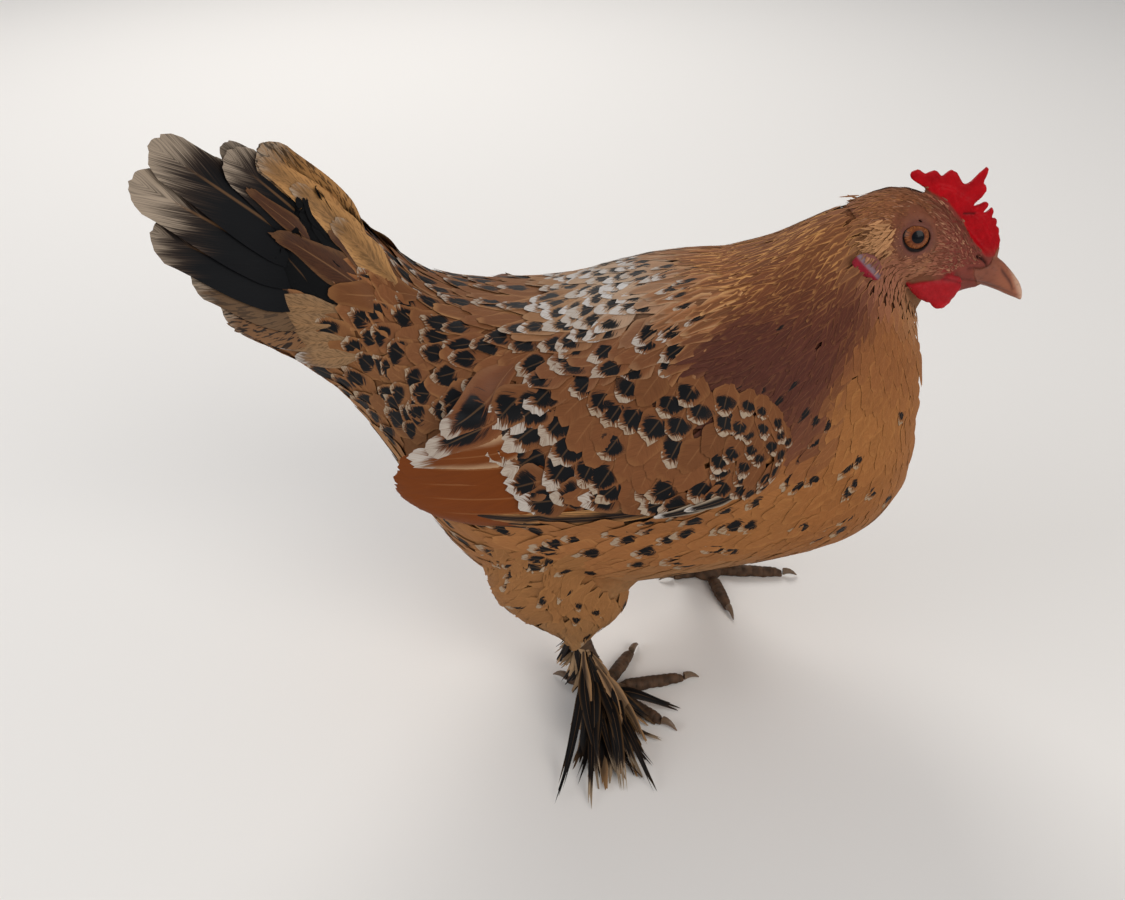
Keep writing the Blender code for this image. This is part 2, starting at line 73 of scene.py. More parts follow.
def pieces_together(parts):
    """Points and faces of several meshes as one."""
    starts = np.cumsum([0] + [len(points) for points, _ in parts])
    faces = [part[1] + start for part, start in zip(parts, starts)]
    return np.vstack([points for points, _ in parts]), np.vstack(faces)


def read(items, key, kind=float):
    """A value of each of a mesh's points, corners or triangles, three to a row where each has three."""
    size = 1 if key == "vertex_index" else 3
    flat = np.empty(len(items) * size, kind)
    items.foreach_get(key, flat)
    return flat.reshape(-1, size)


def node_mesh(*names):
    """Points and triangles of some CAD nodes, as one array each."""
    parts = []
    for name in names:
        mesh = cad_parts[name].data
        mesh.calc_loop_triangles()
        parts.append((read(mesh.vertices, "co"), read(mesh.loop_triangles, "vertices", np.int64)))
    return pieces_together(parts)


def tree_of(*names):
    """Search tree over the faces of some CAD nodes."""
    points, faces = node_mesh(*names)
    return BVHTree.FromPolygons(points.tolist(), faces.tolist())


def placed(name, data):
    """New object in the scene, at the origin."""
    made = bpy.data.objects.new(name, data)
    bpy.context.scene.collection.objects.link(made)
    return made


def grid_quads(rows, columns):
    """Faces of a grid of points."""
    i = (np.arange(rows - 1)[:, None] * columns + np.arange(columns - 1)).ravel()
    return np.stack([i, i + columns, i + columns + 1, i + 1], -1)


def mesh_object(name, points, faces, look, uvs=None, paints=None):
    """Object at the origin from points, faces (an array of corner numbers), UV maps and colour attributes
    per point."""
    points = np.asarray(points, np.float32).reshape(-1, 3)
    faces = np.asarray(faces, np.int32)
    corners, sides = faces.ravel(), faces.shape[1]
    mesh = bpy.data.meshes.new(name)
    mesh.vertices.add(len(points))
    mesh.vertices.foreach_set("co", points.ravel())
    mesh.loops.add(len(corners))
    mesh.loops.foreach_set("vertex_index", corners)
    mesh.polygons.add(len(faces))
    mesh.polygons.foreach_set("loop_start", np.arange(0, len(corners), sides, dtype=np.int32))
    for key, values in (uvs or {}).items():
        layer = mesh.uv_layers.new(name=key)
        layer.data.foreach_set("uv", np.asarray(values, np.float32).reshape(-1, 2)[corners].ravel())
    for key, values in (paints or {}).items():
        attribute = mesh.attributes.new(key, "FLOAT_COLOR", "POINT")
        attribute.data.foreach_set("color", np.asarray(values, np.float32).reshape(-1, 4).ravel())
    mesh.update(calc_edges=True)
    mesh.validate()
    mesh.shade_smooth()
    mesh.materials.append(look)
    return placed(name, mesh)


def remeshed(points, faces, voxel):
    """Points and quads of one closed shell round some closed meshes, in cubes of the given size."""
    mesh = bpy.data.meshes.new("lump")
    mesh.from_pydata(points.tolist(), [], faces.tolist())
    lump = placed("lump", mesh)
    shell = lump.modifiers.new("shell", "REMESH")
    shell.mode = "VOXEL"
    shell.voxel_size = voxel
    shell.adaptivity = 0.0
    made = lump.evaluated_get(bpy.context.evaluated_depsgraph_get()).to_mesh()
    points, corners = read(made.vertices, "co"), read(made.loops, "vertex_index", np.int64)
    bpy.data.objects.remove(lump)
    bpy.data.meshes.remove(mesh)
    return points, corners.reshape(-1, 4)


def relaxed(points, faces, times):
    """Points moved `times` over to the mean of their neighbours along face sides."""
    pairs = np.vstack([faces[:, [i, (i + 1) % 4]] for i in range(4)])
    pairs = np.vstack([pairs, pairs[:, ::-1]])
    count = np.bincount(pairs[:, 0], minlength=len(points))[:, None]
    for _ in range(times):
        total = [np.bincount(pairs[:, 0], points[pairs[:, 1], k], len(points)) for k in range(3)]
        points = np.stack(total, -1) / np.maximum(count, 1)
    return points


def gathered(faces, vectors, count):
    """Sum at each of `count` points of the vectors of the faces round it."""
    total = np.zeros((count, 3))
    for corner in faces.T:
        for k in range(3):
            total[:, k] += np.bincount(corner, vectors[:, k], count)
    return total


def point_normals(points, faces):
    """Mean of the normals of the four-sided faces round each point."""
    a, b, c, d = (points[corner] for corner in faces.T)
    return unit(gathered(faces, np.cross(c - a, d - b), len(points)))


def waves(points, size, seed):
    """Smooth random field from -1 to 1: a mean of sines along random directions with wavelengths about
    `size`."""
    draw = np.random.default_rng(seed)
    total = np.zeros(points.shape[:-1])
    for _ in range(12):
        turn = unit(draw.normal(size=3)) * 2 * np.pi / (size * draw.uniform(0.6, 1.6))
        total += np.sin(points @ turn + draw.uniform(0, 6.28))
    return total / 12 ** 0.5 / 1.4


# ---------------------------------------------------------------- camera, floor and light

def camera():
    """Camera above the bird's right side, looking down at it."""
    lens = bpy.data.cameras.new("camera")
    lens.lens = 38.4
    lens.sensor_width = 36.0
    lens.clip_start = 0.01
    eye = placed("camera", lens)
    eye.location = (-0.01559, -0.39783, 0.337)
    eye.rotation_euler = (math.radians(58.3), 0.0, 0.0)
    bpy.context.scene.camera = eye


def soft_light(name, place, size, watts, colour):
    """Square soft box at a place, turned to the middle of the bird."""
    lamp = bpy.data.lights.new(name, "AREA")
    lamp.shape = "SQUARE"
    lamp.size = size
    lamp.energy = watts
    lamp.color = colour
    box = placed(name, lamp)
    box.location = place
    box.rotation_euler = (Vector((0.0, 0.0, 0.11)) - Vector(place)).to_track_quat("-Z", "Y").to_euler()


def studio():
    """Pale floor that curves up at the back, three soft boxes and a dim pale room."""
    paper = shaded(new_look("floor_paper"), {"Base Color": (0.80, 0.78, 0.75, 1), "Roughness": 0.8})
    across = np.linspace(-4, 4, 17)
    along = np.linspace(-3, 4, 40)
    rise = 1.2 * smooth((along - 1.6) / 2.2) * 1.8
    grid = np.stack(np.broadcast_arrays(across[:, None], along[None, :], rise[None, :]), -1)
    mesh_object("floor", grid, grid_quads(17, 40), paper)
    soft_light("key", (0.8, -1.15, 0.95), size=1.1, watts=15.0, colour=(1.0, 0.96, 0.91))
    soft_light("back", (-0.35, 1.25, 1.15), size=0.8, watts=13.0, colour=(1.0, 0.97, 0.94))
    soft_light("side", (-1.3, -0.5, 0.6), size=1.0, watts=8.0, colour=(0.95, 0.97, 1.0))
    room = bpy.data.worlds.new("room")
    room.use_nodes = True
    room.node_tree.nodes["Background"].inputs["Color"].default_value = (0.93, 0.95, 1.0, 1)
    room.node_tree.nodes["Background"].inputs["Strength"].default_value = 0.36
    bpy.context.scene.world = room
    bpy.context.scene.view_settings.view_transform = "Standard"


# ---------------------------------------------------------------- shader building blocks

class Value:
    """What a shader node gives out. A sum, difference, product or quotient with one adds a Math node."""

    def __init__(self, socket):
        self.socket = socket


def feed(socket, value):
    """A socket set to a number or colour, or linked to what another node gives."""
    if isinstance(value, Value):
        socket.id_data.links.new(value.socket, socket)
    else:
        socket.default_value = value


def spawn(tree, kind, inputs=None, **settings):
    """A new shader node with its settings and inputs; returns the sockets that it gives out by."""
    node = tree.nodes.new("ShaderNode" + kind)
    for key, value in settings.items():
        setattr(node, key, value)
    for key, value in (inputs or {}).items():
        feed(node.inputs[key], value)
    return node.outputs


def put(tree, kind, inputs=None, out=0, **settings):
    """One of the values that a new shader node gives out."""
    return Value(spawn(tree, kind, inputs, **settings)[out])


def calc(operation, *values, clamp=False):
    """Result of a Math node."""
    tree = next(value for value in values if isinstance(value, Value)).socket.id_data
    return put(tree, "Math", dict(enumerate(values)), operation=operation, use_clamp=clamp)


for sign, operation in (("add", "ADD"), ("sub", "SUBTRACT"), ("mul", "MULTIPLY"), ("truediv", "DIVIDE")):
    setattr(Value, f"__{sign}__", lambda one, other, operation=operation: calc(operation, one, other))
    setattr(Value, f"__r{sign}__", lambda one, other, operation=operation: calc(operation, other, one))


def ramp(value, low, high, start=0.0, end=1.0):
    """Eased Map Range of a value between two limits."""
    return put(value.socket.id_data, "MapRange", {0: value, 1: low, 2: high, 3: start, 4: end},
               interpolation_type="SMOOTHSTEP")


def blend(share, first, second):
    """Colour mixed from two by a share; each is a tone or what a node gives."""
    first, second = (c if isinstance(c, Value) else (*c.tolist(), 1.0) for c in (first, second))
    return put(share.socket.id_data, "Mix", {0: share, 6: first, 7: second}, 2, data_type="RGBA")


def lit(colour, light):
    """Colour times a number."""
    return put(light.socket.id_data, "VectorMath", {0: colour, 3: light}, operation="SCALE")


def noise(tree, place, scale, detail):
    """Noise from 0 to 1 at a place, which is one value or its x, y and z."""
    if not isinstance(place, Value):
        place = put(tree, "CombineXYZ", dict(enumerate(place)))
    return put(tree, "TexNoise", {"Vector": place, "Scale": scale, "Detail": detail})


def painted(tree, name):
    """Colour from a colour attribute of the mesh."""
    return put(tree, "Attribute", None, "Color", attribute_name=name, attribute_type="GEOMETRY")


def numbers(tree, name):
    """The four numbers in a colour attribute of the mesh."""
    given = spawn(tree, "Attribute", attribute_name=name, attribute_type="GEOMETRY")
    parts = spawn(tree, "SeparateColor", {0: Value(given["Color"])})
    return [Value(socket) for socket in (*parts, given["Alpha"])]


def flat_map(tree, name):
    """The two numbers of a UV map."""
    place = spawn(tree, "SeparateXYZ", {0: put(tree, "UVMap", uv_map=name)})
    return Value(place[0]), Value(place[1])


def new_look(name):
    """A new material with nodes."""
    look = bpy.data.materials.new(name)
    look.use_nodes = True
    return look


def shaded(look, inputs):
    """A material with some inputs of its Principled shader set."""
    for key, value in inputs.items():
        feed(look.node_tree.nodes["Principled BSDF"].inputs[key], value)
    return look


def vane_group():
    """Markings of one feather vane, from its own map: barbs that slant out to the tip, a shaft, a dark spot
    before a pale tip, a dark middle stripe, gilded edges and fine dark freckles."""
    tree = bpy.data.node_groups.new("vane_markings", "ShaderNodeTree")
    for key, value in (("Barb Contrast", 0.35), ("Shaft", 0.25), ("Border", 0.03)):
        tree.interface.new_socket(key, in_out="INPUT", socket_type="NodeSocketFloat").default_value = value
    for key, kind in (("Color", "Color"), ("Height", "Float"), ("Dark", "Float")):
        tree.interface.new_socket(key, in_out="OUTPUT", socket_type="NodeSocket" + kind)
    contrast, shaft, border = (Value(socket) for socket in tree.nodes.new("NodeGroupInput").outputs[:3])
    across, along = flat_map(tree, "vane")
    across = (across - 0.5) * 2.0
    off = calc("ABSOLUTE", across)
    spot, pale, seed, white = numbers(tree, "marks")
    stripe, gild, freckle, fine = numbers(tree, "trims")
    slant = along - off * 0.30
    seed_shift = seed * 57.0
    barb = noise(tree, (slant * (fine * 36.0), across * 1.6, seed_shift), 1.0, 3.0)
    clump = noise(tree, (slant * 13.0, across * 1.3, seed_shift + 9.0), 1.0, 1.0)
    ragged = (barb - 0.5) * 0.32 + (clump - 0.5) * 0.26
    # ground colour with barbs, a stripe along the middle and gilded edges
    light = 1.0 + (barb - 0.5) * contrast + (clump - 0.5) * 0.22
    middle = ramp(off + ragged * 0.9, 0.75, 0.15)
    ground = blend(middle * stripe, lit(painted(tree, "tint"), light), tone(26, 18, 17))
    rim = calc("MAXIMUM", ramp(off + ragged * 0.5, 0.62 - gild * 0.30, 0.95), ramp(along, 0.86, 1.0))
    ground = blend(rim * gild, ground, blend(white, tone(206, 150, 88), tone(150, 138, 122)))
    # the dark spot and the pale tip beyond it
    lean = (put(tree, "TexWhiteNoise", {"W": seed_shift}, noise_dimensions="1D") - 0.5) * 0.5
    frayed = along + ragged + off * off * 0.05
    reach = 0.06 + spot * 0.17
    up = (frayed - (0.95 - pale * 0.20 - reach)) / reach
    side = (across - lean) / (0.32 + spot * 0.55)
    dark = ramp(calc("SQRT", up * up + side * side), 1.12, 0.86) * ramp(spot, 0.02, 0.10)
    tip = ramp((frayed - (0.985 - pale * 0.20)) / border, -1.5, 1.5) * ramp(pale, 0.02, 0.15)
    # pale tip: cream, or a cool white where `white` is high; the whitest tips, on the cape, are partly a
    # painted highlight
    cream = blend(white, tone(150, 130, 106), tone(188, 184, 180))
    cream = lit(blend(ramp(tip, 0.25, 1.0), tone(70, 52, 40), cream), light)
    paint = blend(tip * ramp(barb, 0.30, 0.58, 0.62, 1.0), ground, cream)
    specks = noise(tree, (slant * 30.0, across * 4.0, seed_shift), 1.0, 3.0)
    dark = calc("MAXIMUM", dark, calc("MULTIPLY", ramp(specks, 0.50, 0.58), freckle, clamp=True))
    paint = blend(dark, paint, tone(11, 12, 15))
    # the shaft, paler than the vane and fading before the tip
    rachis = ramp(off, 0.07, 0.015) * ramp(along, 0.9, 0.7)
    out = tree.nodes.new("NodeGroupOutput")
    feed(out.inputs["Color"], blend(rachis * shaft, paint, tone(190, 140, 92)))
    feed(out.inputs["Height"], barb * 0.6 + rachis * 0.8)
    feed(out.inputs["Dark"], dark)
    return tree


def vane_look(name, markings, barbs, shaft, bump, roughness, border):
    """Material of a coat piece: the vane's markings, its barbs as bump, and glossier spots."""
    look = new_look(name)
    tree = look.node_tree
    given = {"Barb Contrast": barbs, "Shaft": shaft, "Border": border}
    paint, height, dark = (Value(socket) for socket in spawn(tree, "Group", given, node_tree=markings))
    return shaded(look, {
        "Base Color": paint, "Roughness": ramp(dark, 0.0, 1.0, roughness, roughness - 0.16),
        "Normal": put(tree, "Bump", {"Strength": bump, "Distance": 0.00012, "Height": height}),
        "Specular IOR Level": 0.12})


# ---------------------------------------------------------------- surfaces that carry the coat

class Surface:
    """A patch of the bird as a grid of points: rows follow the lie of the coat, columns go across it."""

    def __init__(self, grid, closed, inside=None):
        self.grid, self.closed = grid, closed
        self.rows, self.cols = grid.shape[:2]
        self.down = np.gradient(grid, axis=0)
        if closed:
            self.across = (np.roll(grid, -1, 1) - np.roll(grid, 1, 1)) / 2
        else:
            self.across = np.gradient(grid, axis=1)
        self.normal = unit(np.cross(self.down, self.across))
        if inside is not None:
            facing = ((grid - inside) * self.normal).sum(-1, keepdims=True)
            self.normal = self.normal * np.sign(np.median(facing))
        self.area = np.linalg.norm(np.cross(self.down, self.across), axis=-1)

    def at(self, field, t, c):
        """A grid field at fractional rows t and columns c, straight between grid points and past the last
        row."""
        i = np.clip(np.floor(t).astype(int), 0, self.rows - 2)
        f = np.clip(t - i, -2, 5)[..., None]
        if self.closed:
            j = np.floor(c).astype(int)
            g = (c - j)[..., None]
            a, b = j % self.cols, (j + 1) % self.cols
        else:
            a = np.clip(np.floor(c).astype(int), 0, self.cols - 2)
            g = np.clip(c - a, -1, 2)[..., None]
            b = a + 1
        return ((field[i, a] * (1 - f) + field[i + 1, a] * f) * (1 - g)
                + (field[i, b] * (1 - f) + field[i + 1, b] * f) * g)

    def paths(self, t, c, length, skew, stations=5):
        """Points and normals along each shaft: from its root it steps over the surface, turned `skew` off
        the rows."""
        t, c, places, normals = t.copy(), c.copy(), [], []
        for _ in range(stations):
            places.append(self.at(self.grid, t, c))
            normals.append(unit(self.at(self.normal, t, c)))
            down = np.linalg.norm(self.at(self.down, np.minimum(t, self.rows - 1.0), c), axis=-1)
            side = np.linalg.norm(self.at(self.across, np.minimum(t, self.rows - 1.0), c), axis=-1)
            step = length / (stations - 1)
            t = t + step * np.cos(skew) / np.maximum(down, 1e-5)
            c = c + step * np.sin(skew) / np.maximum(side, 1e-4)
        return np.stack(places, 1), np.stack(normals, 1)

    def scatter(self, gap, draws=9):
        """Roots spread over the surface so that none is nearer another than its own gap."""
        weight = self.area / gap**2
        count = int(weight.sum() * draws)
        cell = rng.choice(weight.size, count, p=(weight / weight.sum()).ravel())
        t = cell // self.cols + rng.uniform(-0.5, 0.5, count)
        c = cell % self.cols + rng.uniform(-0.5, 0.5, count)
        t = np.clip(t, 0, self.rows - 1.001)
        spots = self.at(self.grid, t, c)
        clear = gap[np.clip(np.round(t).astype(int), 0, self.rows - 1), np.round(c).astype(int) % self.cols]
        finder = KDTree(count)
        for k, spot in enumerate(spots.tolist()):
            finder.insert(spot, k)
        finder.balance()
        free, kept = np.ones(count, bool), []
        for k in range(count):
            if free[k]:
                kept.append(k)
                free[[found[1] for found in finder.find_range(spots[k], clear[k])]] = False
        kept = np.array(kept)
        return t[kept], c[kept], spots[kept]


# The bird's centre line, from the bill's root to the tail: where each slanting section meets the
# upper outline (x, z) and the lower one (x, z), in millimetres.
CENTRE_LINE = np.array((
    (135.9, 173.5, 131.2, 161), (127.9, 180.5, 129.4, 160.8), (118.9, 189.3, 126.9, 160.2),
    (109.4, 195.6, 123.4, 159), (99.4, 197.6, 119.4, 157.8), (89.9, 195.3, 115.2, 157.8),
    (81.4, 191.2, 109.9, 159), (69.9, 185, 113.4, 147.5), (56.4, 177, 116.9, 132),
    (39.4, 171.5, 118.2, 112), (21.4, 169.5, 116.4, 89.5), (3.4, 165.5, 103.4, 69),
    (-13.6, 160, 76.4, 58.5), (-29.6, 158.3, 41.4, 50.5), (-45.6, 158.5, 2.4, 43),
    (-58.6, 160.8, -34.6, 41), (-68.6, 165.5, -59.6, 62), (-76.6, 173.5, -80.6, 97),
    (-84.6, 183.5, -96.6, 122.5), (-91.6, 193, -113.6, 139), (-98.6, 201.5, -131.6, 151),
)) * MM
MIDDLE_Y = -0.8 * MM
SIDES = ((-1.0, "right"), (1.0, "left"))
BODY_ROWS = 190
BODY_COLS = 112


def blurred(field, times, closed=True):
    """Field on a grid with each value moved to a mean with its four neighbours."""
    for _ in range(times):
        up = np.vstack([field[:1], field[:-1]])
        low = np.vstack([field[1:], field[-1:]])
        if closed:
            left, right = np.roll(field, 1, 1), np.roll(field, -1, 1)
        else:
            left = np.hstack([field[:, :1], field[:, :-1]])
            right = np.hstack([field[:, 1:], field[:, -1:]])
        field = (field * 2 + up + low + left + right) / 6
    return field


def rows_at(table, t):
    """A table's rows at fractional row numbers."""
    return np.stack([np.interp(t, np.arange(len(table)), column) for column in table.T], -1)


def body_surfaces():
    """The bird's outline without and with its folded wings: rays go from the centre line of each slanting
    section to the solids, and the reach of each ray is evened out with its neighbours'."""
    rows = rows_at(CENTRE_LINE, np.linspace(0.02, len(CENTRE_LINE) - 1.03, BODY_ROWS))
    rows = blurred(rows[:, None, :], 12, False)[:, 0]
    top, low = (np.stack([rows[:, k], np.zeros(BODY_ROWS), rows[:, k + 1]], -1) for k in (0, 2))
    centre = (top + low) / 2
    centre[:, 1] = MIDDLE_Y
    turn = 2 * np.pi * np.arange(BODY_COLS)[:, None] / BODY_COLS
    ways = unit(top - low)[:, None, :] * np.cos(turn) + np.array([0, -1.0, 0]) * np.sin(turn)
    flesh = tree_of("head", "neck", "trunk", "tail_coverts")
    wings = tree_of("wing_coverts_right", "wing_flight_right", "wing_coverts_left", "wing_flight_left")
    reach = np.full(ways.shape[:2], np.nan)
    over = reach.copy()
    for i, j in np.ndindex(reach.shape):
        way, start = Vector(ways[i, j]), Vector(centre[i])
        # behind the middle the rays come in from outside, past the folds between rump and tail
        if centre[i, 0] < -45 * MM:
            far = flesh.ray_cast(start + way * 0.09, -way)[3]
            reach[i, j] = 0.09 - far if far is not None else np.nan
        else:
            far = flesh.ray_cast(start, way)[3]
            reach[i, j] = far if far is not None else np.nan
        back = wings.ray_cast(start + way * 0.2, -way)[3]
        over[i, j] = 0.2 - back if back is not None else np.nan
    wrong = np.isnan(reach)
    reach = np.where(wrong, np.nanmedian(reach, axis=1, keepdims=True), reach)
    even = blurred(reach, 10)
    reach = blurred(np.where(wrong | (reach < even - 2.0 * MM), even, reach), 3)
    folded = blurred(np.where(np.isnan(over), reach, np.maximum(over, reach)), 3)
    spine = centre[:, None, :]
    return [Surface(spine + ways * field[..., None], True, spine) for field in (reach, folded)]


# ---------------------------------------------------------------- feathers

# What shapes a vane, and the colour attributes that carry the rest, four numbers each.
BUILD = ("sink", "lift", "taper", "cup", "twist", "curl", "fray")
COLOURS = dict(tint=("red", "green", "blue", "full"), marks=("spot", "pale", "seed", "white"),
               trims=("stripe", "gild", "freckle", "fine"))


def run(paths):
    """Length of each shaft path."""
    return np.linalg.norm(np.diff(paths, axis=1), axis=-1).sum(1)


def vanes(places, normals, length, width, feather, stations, columns, bake=0.5, patch=0.0):
    """Vanes along shaft paths. Across a vane the points spread by its half width and droop with the square
    of the distance from the shaft; along it the width grows from the root and closes at the tip, whose
    outer columns stop short so that it is round; random lengths per column fray the tip. `feather` has each
    one's build and colours, `bake` the place of each one's patch on the bake map."""
    count, knots = places.shape[:2]
    sink, lift, taper, cup, twist, curl, fray, half, long = (
        values[:, None, None] for values in (*(feather[key] for key in BUILD), width / 2, length))
    s = np.linspace(0.0, 1.0, stations)[None, :, None]
    u = np.linspace(-1.0, 1.0, columns)
    shape = 0.30 + 0.70 * smooth(s / 0.42)
    shape = shape * (1 - (0.20 + 0.62 * taper) * smooth((s - 0.5 + 0.3 * taper) / (0.5 + 0.3 * taper)))
    blunt = (1 - np.sqrt(1 - (0.96 * u) ** 2)) * (half / long) * 0.95
    blunt = blunt + taper * 0.25 * np.abs(u) ** 1.5 * (half / long) * 3
    along = s - blunt * s**2 + rng.normal(size=(count, 1, columns)) * fray * s**5
    place = np.clip(along, 0, 1.06) * (knots - 1)
    i = np.clip(np.floor(place).astype(int), 0, knots - 2)
    f = (place - i)[..., None]
    who = np.arange(count)[:, None, None]

    def there(field):
        """What a field along the shafts is at each point's place on its own shaft."""
        return field[who, i] * (1 - f) + field[who, i + 1] * f

    normal = unit(there(normals))
    side = unit(np.cross(normal, unit(there(np.gradient(places, axis=1)))))
    spread = half * shape * u
    waver = rng.normal(size=(count, 1, 1)) * 0.06 * half * s**2
    rise = sink + (lift - sink) * np.clip(along, 0, 1) ** 0.85 + curl * np.clip(along, 0, 1) ** 3
    rise = rise - cup * half * shape * u**2 + twist * spread
    vertex = there(places) + side * (spread + waver)[..., None] + normal * rise[..., None]
    across, level = np.broadcast_arrays(u * 0.5 + 0.5, s, along)[:2]
    spot = (np.broadcast_to(bake, (count, 2))[:, None, None]
            + patch * np.stack([across - 0.5, level - 0.5], -1))
    faces = (np.arange(count)[:, None, None] * stations * columns
             + grid_quads(stations, columns)[:, [0, 3, 2, 1]])
    feather = {**feather, "seed": rng.uniform(0, 1, count), "full": np.ones(count)}
    feather["red"], feather["green"], feather["blue"] = feather["tint"].T
    colours = {name: np.repeat(np.stack([feather[key] for key in keys], -1), stations * columns, 0)
               for name, keys in COLOURS.items()}
    return dict(points=vertex.reshape(-1, 3), faces=faces.reshape(-1, 4), bake=spot.reshape(-1, 2),
                vane=np.stack([across, np.clip(along + 0.02, 0, 1)], -1).reshape(-1, 2), **colours)


def joined(name, bunches, look, slot):
    """One coat piece from some bunches of vanes, riding on the bird."""
    points, faces = pieces_together([(bunch["points"], bunch["faces"]) for bunch in bunches])

    def together(key):
        """A value of all the bunches' points."""
        return np.vstack([bunch[key] for bunch in bunches])

    maps = {"vane": together("vane"), "OFBake": together("bake")}
    made = mesh_object(name, points, faces, look, maps, {key: together(key) for key in COLOURS})
    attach(made, "root")
    return made


